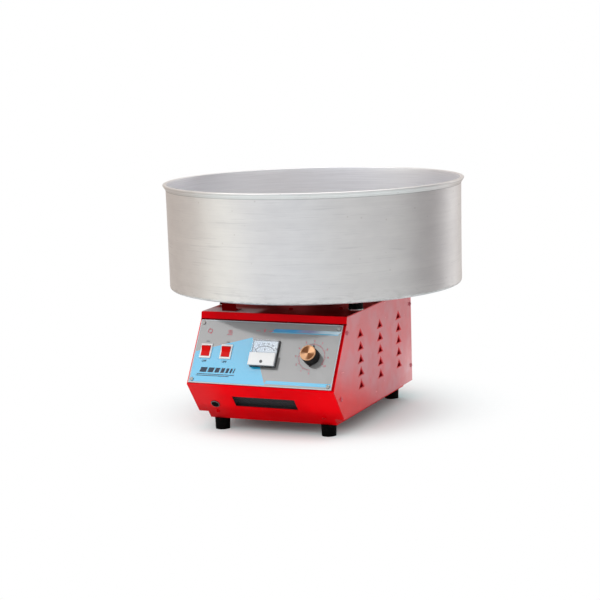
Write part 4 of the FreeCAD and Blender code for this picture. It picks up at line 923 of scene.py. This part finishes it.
class FLOSS_OT_cabinet(bpy.types.Operator):
    """Enamels the folded steel: cabinet, slopes, tray, rear panel, the bowl's bracket and the screws"""

    bl_idname = "floss.cabinet"
    bl_label = "Cabinet enamel"

    def execute(self, context):
        colours = context.scene.floss_colours
        red, sheen = tuple(colours.enamel), tuple(colours.enamel_sheen)
        give(red_enamel("red_enamel", red, sheen, 2.0), "cabinet_shell", "back_panel")
        give(self.front(red, sheen), "front_panel", "base_tray")
        # the bowl's bracket: the enamel at 0.22 of its brightness, as painted shade under the bowl
        give(red_enamel("bracket_shaded_enamel", shaded(red, 0.22), sheen, 1.3), "bowl_bracket")
        give(self.screws(red, sheen), "case_screws")
        return {"FINISHED"}

    def front(self, red, sheen):
        """A brighter copy of the enamel, as painted light, with painted shade round the printed plate,
        low on the chin and at the chin's left end, which is also paler.
        """
        # 1.35 times the cabinet's enamel: painted light on the front and the tray
        f = red_enamel("front_lit_enamel", shaded(red, 1.35), sheen, 1.12)
        slope = abs(f.off(PANEL)).below(1.5, 0.2) * f.down(PANEL).below(PANEL_LONG, 0.5)
        chin = 1.0 - slope
        low = f.down(CHIN).rise(45.0, 64.0) * chin
        left = (1.0 - f.across().rise(-120.0, -60.0)) * chin
        left_pale, dark = (0.7, 0.42, 0.45), (0.12, 0.0, 0.001)
        # painted shade round the printed plate, low on the chin and at its left end
        shade = slope * 0.7 + low * 0.25 + left * 0.16
        f.set("Base Color", f.layers(f.tone(), (left * 0.055, left_pale), (shade, dark)))
        return f

    def screws(self, red, sheen):
        """Enamelled heads, with the side sheets' painted reflection where they stand proud of them."""
        f = red_enamel("screw_enamel", red, sheen, 1.3)
        proud = abs(f.x).above(NODES["cabinet_shell"].dimensions.x / 2, 0.2 * MM)
        # the side sheets' painted reflection on the heads that stand proud
        f.set("Base Color", f.mix(proud * 0.8, f.tone(), (0.5, 0.12, 0.15)))
        return f


class FLOSS_OT_bowl(bpy.types.Operator):
    """Finishes the spun bowl and the spinner head inside it"""

    bl_idname = "floss.bowl"
    bl_label = "Bowl and spinner head"

    hole = 72.0 * MM
    collar_height = 14.0 * MM
    turns = 288
    wall_steps = 18
    floor_steps = 6
    wave_depth = 0.4 * MM
    wave_clear = 30.0 * MM

    def execute(self, context):
        colours = context.scene.floss_colours
        aluminium = spun_aluminium(tuple(colours.aluminium), tuple(colours.aluminium_light))
        self.spun_bowl(aluminium)
        give(turned_metal("turned_aluminium", (0.78, 0.78, 0.77)), "head_cover")
        give(turned_metal("turned_band", grey(0.7), rough=0.2, pitch=0.0007), "head_band")
        give(cast_aluminium(), "head_base", "motor_end_caps")
        give(heater_sheath(), "heater_ring")
        give(white_ceramic(), "heater_insulators", "heater_leads")
        return {"FINISHED"}

    def spun_bowl(self, finish):
        """The bowl's section as spun, with the slight waves that hand spinning leaves in the wall."""
        low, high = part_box("bowl")
        top, foot = high.z, low.z
        wall = high.x - RIM_LEAN
        base = wall - WALL_TAPER
        crease = top - RIM_HEIGHT
        outer = (high.x - RIM_FOLD, top - RIM_FOLD)
        inner = (wall - SHEET + RIM_INNER_FOLD, top - RIM_INNER_FOLD)
        corner = (base - FOOT_CORNER, foot + FOOT_CORNER)
        reach = (outer[0] - wall, outer[1] - crease)
        lean = math.degrees(math.atan2(*reach) + math.asin(RIM_FOLD / math.hypot(*reach)))
        floor, collar = foot + SHEET, foot + self.collar_height
        hole_in = self.hole + SHEET
        outline = [
            (self.hole, foot),
            *between((self.hole, foot), (corner[0], foot), self.floor_steps),
            *bend(corner, FOOT_CORNER, -90, 0, 8),
            *between((base, corner[1]), (wall, crease), self.wall_steps),
            (wall, crease),
            *bend(outer, RIM_FOLD, -lean, 90, 8),
            *bend(inner, RIM_INNER_FOLD, 90, 180, 5),
            *between((wall - SHEET, inner[1]), (base - SHEET, corner[1]), self.wall_steps),
            *bend(corner, FOOT_CORNER - SHEET, 0, -90, 6),
            *between((corner[0], floor), (hole_in, floor), self.floor_steps),
            (hole_in, floor),
            (hole_in, collar),
            (self.hole, collar),
        ]

        def wave(t, height):
            """Shallow hollows in the wall, never outward, and none at the folds."""
            from_folds = min(height - foot, crease - height)
            share = max(0.0, min(from_folds / self.wave_clear, 1.0))
            spot = Vector((math.cos(t) * 2.2, math.sin(t) * 2.2, height * 9.0))
            return self.wave_depth * share * (0.5 + 0.5 * noise.noise(spot))

        mesh = turned("spun_bowl", outline, self.turns, wobble=wave)
        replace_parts(piece("spun_bowl", mesh, finish, "bowl"), "bowl")


class FLOSS_OT_fasteners(bpy.types.Operator):
    """Plates the screws, nuts, brackets and buffer plates, and grinds the shaft and bearings"""

    bl_idname = "floss.fasteners"
    bl_label = "Screws and plated steel"

    def execute(self, context):
        zinc = plated_steel("zinc_steel", (0.62, 0.62, 0.63))
        give(zinc, "foot_screws", "buffer_plates", "motor_bolts")
        give(zinc, "motor_bracket", "head_nut", "head_screws", "regulator_nut")
        give(plated_steel("dull_zinc", grey(0.46), 0.4), "panel_screws")
        ground = turned_metal("bright_steel", grey(0.68), rough=0.18)
        give(ground, "drive_shaft", "motor_bearings", "regulator_shaft")
        give(plated_steel("chrome_ring", grey(0.17), 0.16), "fuse_ring")
        return {"FINISHED"}


class FLOSS_OT_rubber(bpy.types.Operator):
    """Finishes the feet, the bowl's buffers, the motor's bushes and the lead's gland"""

    bl_idname = "floss.rubber"
    bl_label = "Rubber parts"

    def execute(self, context):
        give(black_rubber(), "rubber_feet", "bowl_buffers", "motor_bushes", "cord_gland")
        return {"FINISHED"}


class FLOSS_OT_plastics(bpy.types.Operator):
    """Finishes the moulded parts: switches, meter case and cover, knob, regulator, fan and fuse holder"""

    bl_idname = "floss.plastics"
    bl_label = "Switches and mouldings"

    def execute(self, context):
        white = plain_plastic("white_plastic", grey(0.76), 0.28, shade=0.94)
        give(white, "motor_switch_housing", "heat_switch_housing", "meter_cover", "terminal_block")
        red = plain_plastic("red_plastic", (0.66, 0.002, 0.002), 0.35, shade=0.9, IOR=1.2)
        give(red, "motor_rocker", "heat_rocker")
        black = plain_plastic("black_plastic", (0.01, 0.009, 0.009), 0.38, IOR=1.35)
        give(black, "meter_case", "regulator_body", "cooling_fan", "regulator_knob")
        dull = plain_plastic("dull_black", grey(0.003), 0.6, IOR=1.15)
        give(dull, "fuse_holder", "fuse_cap")
        return {"FINISHED"}


class FLOSS_OT_panel_print(bpy.types.Operator):
    """Prints the film on the slope: ON and OFF, signs, pinstripes and the knob's dial"""

    bl_idname = "floss.panel_print"
    bl_label = "Printed panel"

    film_top = 0.6
    signs_down = 22.0
    switches_down = 58.0

    def execute(self, context):
        colours = context.scene.floss_colours
        sizes = context.scene.floss_print
        give(print_film(colours), "panel_overlay")
        red = plain_plastic("red_ink", tuple(colours.print_red), 0.4, shade=0.85)
        dark = plain_plastic("dark_ink", tuple(colours.print_dark), 0.4, shade=0.8)
        self.knob_dial(red, sizes)
        self.turning_sign(red, sizes.sign)
        self.heat_sign(red, sizes.sign)
        self.meter_sign(red, sizes.sign)
        self.switch_words(dark)
        self.pinstripes(dark)
        return {"FINISHED"}

    def knob_dial(self, ink, sizes):
        """Numbers run clockwise from 0 at the foot of the dial, one for each 30 degrees."""
        dial = Ink(KNOB_ACROSS, KNOB_DOWN, self.film_top)
        start, end, last = -180.0, 120.0, 10
        dial.arc(sizes.ring, start, end, 0.5, 100)
        dial.scale(sizes.ring, start, end, last * 5, 3.0, 1.7)
        for i in range(last + 1):
            spot = bearing(start + (end - start) * i / last, sizes.numbers)
            dial.words(str(i), *spot, sizes.figure, 0.1)
        dial.done("knob_dial_print", ink)

    def turning_sign(self, ink, size):
        """Two arrows that chase each other round a ring."""
        sign = Ink(SWITCH_ACROSS[0], self.signs_down, self.film_top)
        for start in (20.0, 200.0):
            end = start + 125.0
            sign.arc(size, start, end, 1.3, 20)
            foot, side, on = bearing(end, size), bearing(end, 2.0), bearing(end + 90.0, 3.0)
            sign.shape([foot + on, foot + side, foot - side])
        sign.done("turning_sign_print", ink)

    def heat_sign(self, ink, size):
        """Three wavy lines that rise from a bar."""
        sign = Ink(SWITCH_ACROSS[1], self.signs_down, self.film_top)
        steps = 12
        for across in (-2.6, 0.0, 2.6):
            turns = [math.tau * i / steps for i in range(steps + 1)]
            heights = [-size + 2.0 * size * i / steps for i in range(steps + 1)]
            sign.stroke([(across + 0.75 * math.sin(t), y) for t, y in zip(turns, heights)], 1.2)
        bar_end, bar_up = size + 1.0, -size - 1.6
        sign.stroke([(-bar_end, bar_up), (bar_end, bar_up)], 1.1)
        sign.done("heat_sign_print", ink)

    def meter_sign(self, ink, size):
        """A bolt between two lines, left of the meter's middle."""
        sign = Ink(NEEDLE_ACROSS - 9.0, 18.0, self.film_top)
        left_edge = [(-1.9, -0.5), (-0.2, -0.5), (-1.4, -size)]
        right_edge = [(2.2, 0.6), (0.6, 0.6), (1.6, size), (-0.6, size)]
        sign.shape(left_edge + right_edge)
        for side in (-1, 1):
            sign.stroke([(side * 7.0, 0.0), (side * 16.0, 0.0)], 0.7)
        sign.done("meter_sign_print", ink)

    def switch_words(self, ink):
        for name, across in zip(("motor", "heat"), SWITCH_ACROSS):
            words = Ink(across, self.switches_down, self.film_top)
            words.words("ON", 0.0, 17.2, 3.6, 0.12)
            words.words("OFF", 0.0, -17.6, 5.0, 0.2)
            words.done(f"{name}_switch_words", ink)

    def pinstripes(self, ink):
        """A row of slanted blocks that shrink to the right, over two long pinstripes."""
        bars = Ink(-81.0, 95.0, self.film_top)
        left, gap = -32.0, 2.6
        for width in (12.0, 10.0, 8.0, 6.5, 5.0, 3.5, 2.0):
            self.leaning_bar(bars, left, width, 0.0, 8.4, 2.2)
            left += width + gap
        for left, length, level in ((-36.0, 68.0, -4.0), (-37.0, 60.0, -6.6)):
            self.leaning_bar(bars, left, length, level, 1.2, 0.4)
        bars.done("panel_pinstripes", ink)

    def leaning_bar(self, ink, left, length, foot, height, lean):
        top, right = foot + height, left + length
        ink.shape([(left, foot), (right, foot), (right + lean, top), (left + lean, top)])


class FLOSS_OT_meter(bpy.types.Operator):
    """Finishes the voltmeter: dial card, scale, needle, clear front, zero screw and magnet"""

    bl_idname = "floss.meter"
    bl_label = "Voltmeter"

    card_out = 5.4
    pivot_down = 70.0
    half_sweep = 45.0
    top_reading = 250
    reading_step = 50

    def execute(self, context):
        give(dial_card(), "meter_dial")
        give(clear_plastic(), "meter_window")
        give(plain_plastic("screw_plastic", (0.09, 0.09, 0.095), 0.35), "meter_zero_screw")
        give(plain_plastic("needle_paint", grey(0.02), 0.5), "meter_needle")
        give(laminated_iron(), "meter_magnet", "stator_core", "motor_armature")
        ink = plain_plastic("scale_ink", (0.012, 0.014, 0.03), 0.5)
        self.print_scale(ink, context.scene.floss_print.scale)
        return {"FINISHED"}

    def print_scale(self, ink, radius):
        """A line with a mark for every 10 volts and a number at every fifth."""
        scale = Ink(NEEDLE_ACROSS, self.pivot_down, self.card_out)
        start, end = -self.half_sweep, self.half_sweep
        scale.arc(radius, start, end, 0.8, 40)
        scale.scale(radius, start, end, self.top_reading // 10, 2.4, 1.3)
        numbers = radius + 4.4
        for reading in range(0, self.top_reading + 1, self.reading_step):
            degrees = start + (end - start) * reading / self.top_reading
            scale.words(str(reading), *bearing(degrees, numbers), 3.2, 0.08, -math.radians(degrees))
        scale.words("V", 0.0, 17.8, 5.0, 0.2)
        scale.done("meter_scale_print", ink)


class FLOSS_OT_knob(bpy.types.Operator):
    """Finishes the regulator knob's ridged brass cap, and the brass slip rings"""

    bl_idname = "floss.knob"
    bl_label = "Brass parts"

    bright_line = math.radians(-45.0)
    cap_foot = 17.6
    cap_height = 2.6
    cap_radius = 13.2
    cap_rim = 0.9
    cap_edge = 0.35
    dish = 0.9
    ridge = 0.75
    ridge_depth = 0.08

    def execute(self, context):
        self.ridged_cap(self.brass())
        give(turned_metal("ring_brass", (0.75, 0.55, 0.3), rough=0.25), "slip_rings")
        return {"FINISHED"}

    def brass(self):
        """Turned brass with a painted reflection: darker to either side of one bright line through the
        middle.
        """
        f = turned_metal("brass", (0.6, 0.34, 0.19), 0.3, 0.0006, KNOB_JOINT["pos_m"], KNOB_JOINT["axis"])
        across, down = f.across() - KNOB_ACROSS, f.down(PANEL) - KNOB_DOWN
        reach = (across * across + down * down).root().most(0.1)
        way = math.cos(self.bright_line), math.sin(self.bright_line)
        fan = abs(across * way[1] - down * way[0]) / reach
        fan = fan.rise(0.35, 0.9) * reach.below(self.cap_radius - 1.6, 0.5)
        # painted reflection: dark fans to either side of the bright line, standing in for the spun cap's
        # highlight
        f.set("Base Color", f.mix(fan * 0.9, f.tone(), (0.08, 0.022, 0.005)))
        return f

    def ridged_cap(self, finish):
        """A raised rim round a shallow dish that is cut with fine rings."""
        top = self.cap_foot + self.cap_height
        flat = self.cap_radius - self.cap_rim
        edge = self.cap_edge
        outline = [(0.0, self.cap_foot), (self.cap_radius, self.cap_foot)]
        outline += bend((self.cap_radius - edge, top - edge), edge, 0, 90, 4)
        outline += [(flat, top)]
        step_down = 0.25
        for i in range(int(flat / self.ridge)):
            radius = flat - step_down - i * self.ridge
            level = top - step_down - self.dish * (1.0 - (radius / flat) ** 2)
            outline += [(radius, level - self.ridge_depth), (radius - self.ridge / 2, level)]
        outline += [(0.0, top - self.dish - 0.3)]
        mesh = turned("ridged_knob_cap", outline, 96, PANEL.matrix(KNOB_ACROSS, KNOB_DOWN), sharp=50.0)
        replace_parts(piece("ridged_knob_cap", mesh, finish, "knob"), "knob_cap")


class FLOSS_OT_chin(bpy.types.Operator):
    """Finishes the filter behind the front slot and the glass of the fuse beside it"""

    bl_idname = "floss.chin"
    bl_label = "Filter and fuse"

    def execute(self, context):
        give(filter_foam(), "dust_filter")
        give(fuse_glass(), "fuse_link")
        return {"FINISHED"}


class FLOSS_OT_motor(bpy.types.Operator):
    """Finishes the motor, its sleeve and brushes, and winds the brush springs"""

    bl_idname = "floss.motor"
    bl_label = "Motor and brushes"

    turns = 7
    turn_steps = 16
    wire = 0.35 * MM

    def execute(self, context):
        give(painted_motor(), "motor_frame")
        give(wound_copper(), "stator_coils")
        bakelite = pressed("bakelite", (0.05, 0.022, 0.012), (0.12, 0.055, 0.03), 0.35)
        give(bakelite, "slip_ring_sleeve", "brush_holder")
        give(pressed("carbon", (0.015, 0.015, 0.016), (0.05, 0.05, 0.052), 0.45), "carbon_brushes")
        self.springs(plated_steel("spring_steel", grey(0.66), 0.22))
        return {"FINISHED"}

    def springs(self, steel):
        """One coil behind each brush, at the foot and at the top of the springs' box."""
        low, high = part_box("brush_springs")
        radius = (high.y - low.y) / 2 - self.wire
        middle_y = (low.y + high.y) / 2
        steps = self.turns * self.turn_steps
        advance = (high.x - low.x - self.wire * 2) / steps
        levels = {"lower": low.z + radius + self.wire, "upper": high.z - radius - self.wire}
        for side, level in levels.items():
            start = Vector((low.x + self.wire, middle_y, level))
            angles = [math.tau * i / self.turn_steps for i in range(steps + 1)]
            points = [
                start + Vector((advance * i, radius * math.cos(t), radius * math.sin(t)))
                for i, t in enumerate(angles)
            ]
            name = f"{side}_brush_spring"
            spring = piece(name, tube(name, points, self.wire, 8), steel, "base")
            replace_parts(spring, "brush_springs")


class FLOSS_OT_stage(bpy.types.Operator):
    """Sets the pale floor, the studio's soft light and the camera"""

    bl_idname = "floss.stage"
    bl_label = "Floor, light and camera"

    # the studio as metal sees it: degrees round from the front towards the right, and its colour
    studio = (
        (-180.0, (0.56, 0.48, 0.43)),
        (-100.0, (0.56, 0.48, 0.43)),
        (-76.0, (0.56, 0.49, 0.45)),
        (-66.0, (1.0, 0.97, 0.9)),
        (-40.0, (1.0, 0.98, 0.93)),
        (-30.0, (0.76, 0.76, 0.79)),
        (18.0, (0.74, 0.75, 0.78)),
        (40.0, (0.66, 0.65, 0.65)),
        (92.0, (0.6, 0.59, 0.59)),
        (112.0, (0.3, 0.28, 0.28)),
        (141.0, (0.34, 0.31, 0.31)),
        (151.0, (1.4, 1.36, 1.36)),
        (159.0, (1.4, 1.36, 1.36)),
        (165.0, (0.56, 0.5, 0.46)),
        (180.0, (0.56, 0.48, 0.43)),
    )
    ceiling = (1.15, 1.15, 1.16)
    # each lamp's name, place and size in metres, and its share of the main lamp's power
    lights = (
        ("key_lamp", (-1.5, -1.9, 2.1), 1.3, 0.95),
        ("top_lamp", (0.2, 0.2, 2.4), 2.6, 1.0),
        ("low_lamp", (0.3, -1.5, 0.05), 0.6, 0.14),
    )
    lit_spot = (0.0, 0.0, 0.2)

    def execute(self, context):
        stage = context.scene.floss_stage
        self.floor(stage.floor)
        self.surroundings(context.scene, stage.fill)
        self.lamps(stage.lamp)
        self.camera(context.scene, stage)
        context.scene.view_settings.view_transform = "Standard"
        return {"FINISHED"}

    def floor(self, radius):
        built = bmesh.new()
        bmesh.ops.create_circle(built, cap_ends=True, segments=128, radius=radius)
        floor = bpy.data.objects.new("floor", to_mesh("floor", built))
        bpy.context.scene.collection.objects.link(floor)
        floor.data.materials.append(self.floor_paper().material)

    def floor_paper(self):
        """Matt white paper that fades into the white surroundings, with a painted shadow, darker and
        cooler, under the machine.
        """
        f = Finish("floor_paper", Specular_IOR_Level=0.0)
        paper = f.mix(f.grain(30.0, 2.0) * 0.2, (0.82, 0.88, 0.88), (0.8, 0.86, 0.86))
        half_width, half_depth, middle_y, soft = 0.125, 0.19, -0.03, 0.04
        painted_shadow = abs(f.x).below(half_width, soft) * abs(f.y - middle_y).below(half_depth, soft)
        # painted shadow under the machine, darker and cooler than the paper
        f.coat(f.mix(painted_shadow, paper, (0.55, 0.76, 0.76)), 0.9 + f.grain(80.0) * 0.05)
        fade_from, fade_to, least_glow = 0.14, 0.38, 0.03
        far = f.from_middle().rise(fade_from, fade_to) * (1.0 - least_glow) + least_glow
        glow = f.node("ShaderNodeEmission", {}, {"Color": (1.0, 1.0, 1.0)})
        lit = Value(f, f.shader.outputs[0])
        faded = f.node("ShaderNodeMixShader", {}, {0: far * f.ray("Camera"), 1: lit, 2: glow})
        f.feed(f.out.inputs["Surface"], faded)
        return f

    def surroundings(self, scene, strength):
        """White as the camera sees it, banded as metal sees it, and a soft fill for all else."""
        world = bpy.data.worlds.new("studio")
        scene.world = world
        sky = Tree(world)
        x, y, z = sky.parts(sky.node("ShaderNodeTexCoord", {}, {}, "Generated"))
        turn = sky.node("ShaderNodeMath", {"operation": "ARCTAN2"}, {0: x, 1: y * -1.0})
        stops = [((at + 180.0) / 360.0, colour) for at, colour in self.studio]
        bands = sky.node("ShaderNodeValToRGB", {"stops": stops}, {0: turn * (1 / math.tau) + 0.5})
        bands = sky.mix(z.rise(0.45, 0.95), bands, self.ceiling)
        fill = sky.mix(z.rise(-0.2, 0.9), (strength * 0.55,) * 3, (strength * 1.6,) * 3)
        seen = sky.mix(sky.ray("Glossy"), fill, bands)
        seen = sky.mix(sky.ray("Camera").most(sky.ray("Transmission")), seen, grey(1.0))
        light = sky.node("ShaderNodeBackground", {}, {"Color": seen, "Strength": 1.0})
        sky.make("ShaderNodeOutputWorld", {}, {"Surface": light})

    def lamps(self, power):
        for name, at, size, share in self.lights:
            lamp = bpy.data.lights.new(name, "AREA")
            lamp.shape = "DISK"
            lamp.size = size
            lamp.energy = power * share
            holder = bpy.data.objects.new(name, lamp)
            holder.location = at
            aim = Vector(self.lit_spot) - Vector(at)
            holder.rotation_mode = "QUATERNION"
            holder.rotation_quaternion = aim.to_track_quat("-Z", "Y")
            holder.visible_camera = False
            holder.visible_glossy = name != "low_lamp"
            bpy.context.scene.collection.objects.link(holder)

    def camera(self, scene, stage):
        data = bpy.data.cameras.new("camera")
        data.lens = stage.lens
        data.sensor_width = 36.0
        data.shift_x = stage.shift
        camera = bpy.data.objects.new("camera", data)
        scene.collection.objects.link(camera)
        azimuth, elevation, roll = stage.azimuth, stage.elevation, stage.roll
        level = math.cos(elevation)
        back = Vector((math.sin(azimuth) * level, -math.cos(azimuth) * level, math.sin(elevation)))
        right = (-back).cross(Vector(UPRIGHT)).normalized()
        up = right.cross(-back)
        leaning = right * math.cos(roll) + up * math.sin(roll)
        upward = up * math.cos(roll) - right * math.sin(roll)
        turn = Matrix((leaning, upward, back)).transposed().to_4x4()
        camera.matrix_world = Matrix.Translation(stage.camera) @ turn
        scene.camera = camera


class FLOSS_PT_panel(bpy.types.Panel):
    """Lists the machine's groups and what may be changed"""

    bl_idname = "FLOSS_PT_panel"
    bl_label = "Floss machine"
    bl_space_type = "VIEW_3D"
    bl_region_type = "UI"
    bl_category = "Floss machine"

    def draw(self, context):
        for group in (context.scene.floss_colours, context.scene.floss_print, context.scene.floss_stage):
            box = self.layout.box()
            for name in group.bl_rna.properties.keys():
                if name not in ("name", "rna_type"):
                    box.prop(group, name)
        for step in STEPS:
            self.layout.operator(step.bl_idname)


STEPS = (
    FLOSS_OT_stage,
    FLOSS_OT_cabinet,
    FLOSS_OT_bowl,
    FLOSS_OT_fasteners,
    FLOSS_OT_rubber,
    FLOSS_OT_plastics,
    FLOSS_OT_panel_print,
    FLOSS_OT_meter,
    FLOSS_OT_knob,
    FLOSS_OT_chin,
    FLOSS_OT_motor,
)
GROUPS = {"floss_colours": FlossColours, "floss_print": FlossPrint, "floss_stage": FlossStage}


def register():
    for kind in (*GROUPS.values(), *STEPS, FLOSS_PT_panel):
        bpy.utils.register_class(kind)
    for name, kind in GROUPS.items():
        setattr(bpy.types.Scene, name, bpy.props.PointerProperty(type=kind))


def unregister():
    for name in GROUPS:
        delattr(bpy.types.Scene, name)
    for kind in reversed((*GROUPS.values(), *STEPS, FLOSS_PT_panel)):
        bpy.utils.unregister_class(kind)


def main():
    register()
    for step in STEPS:
        group, name = step.bl_idname.split(".")
        getattr(getattr(bpy.ops, group), name)()


if __name__ == "__main__":
    main()
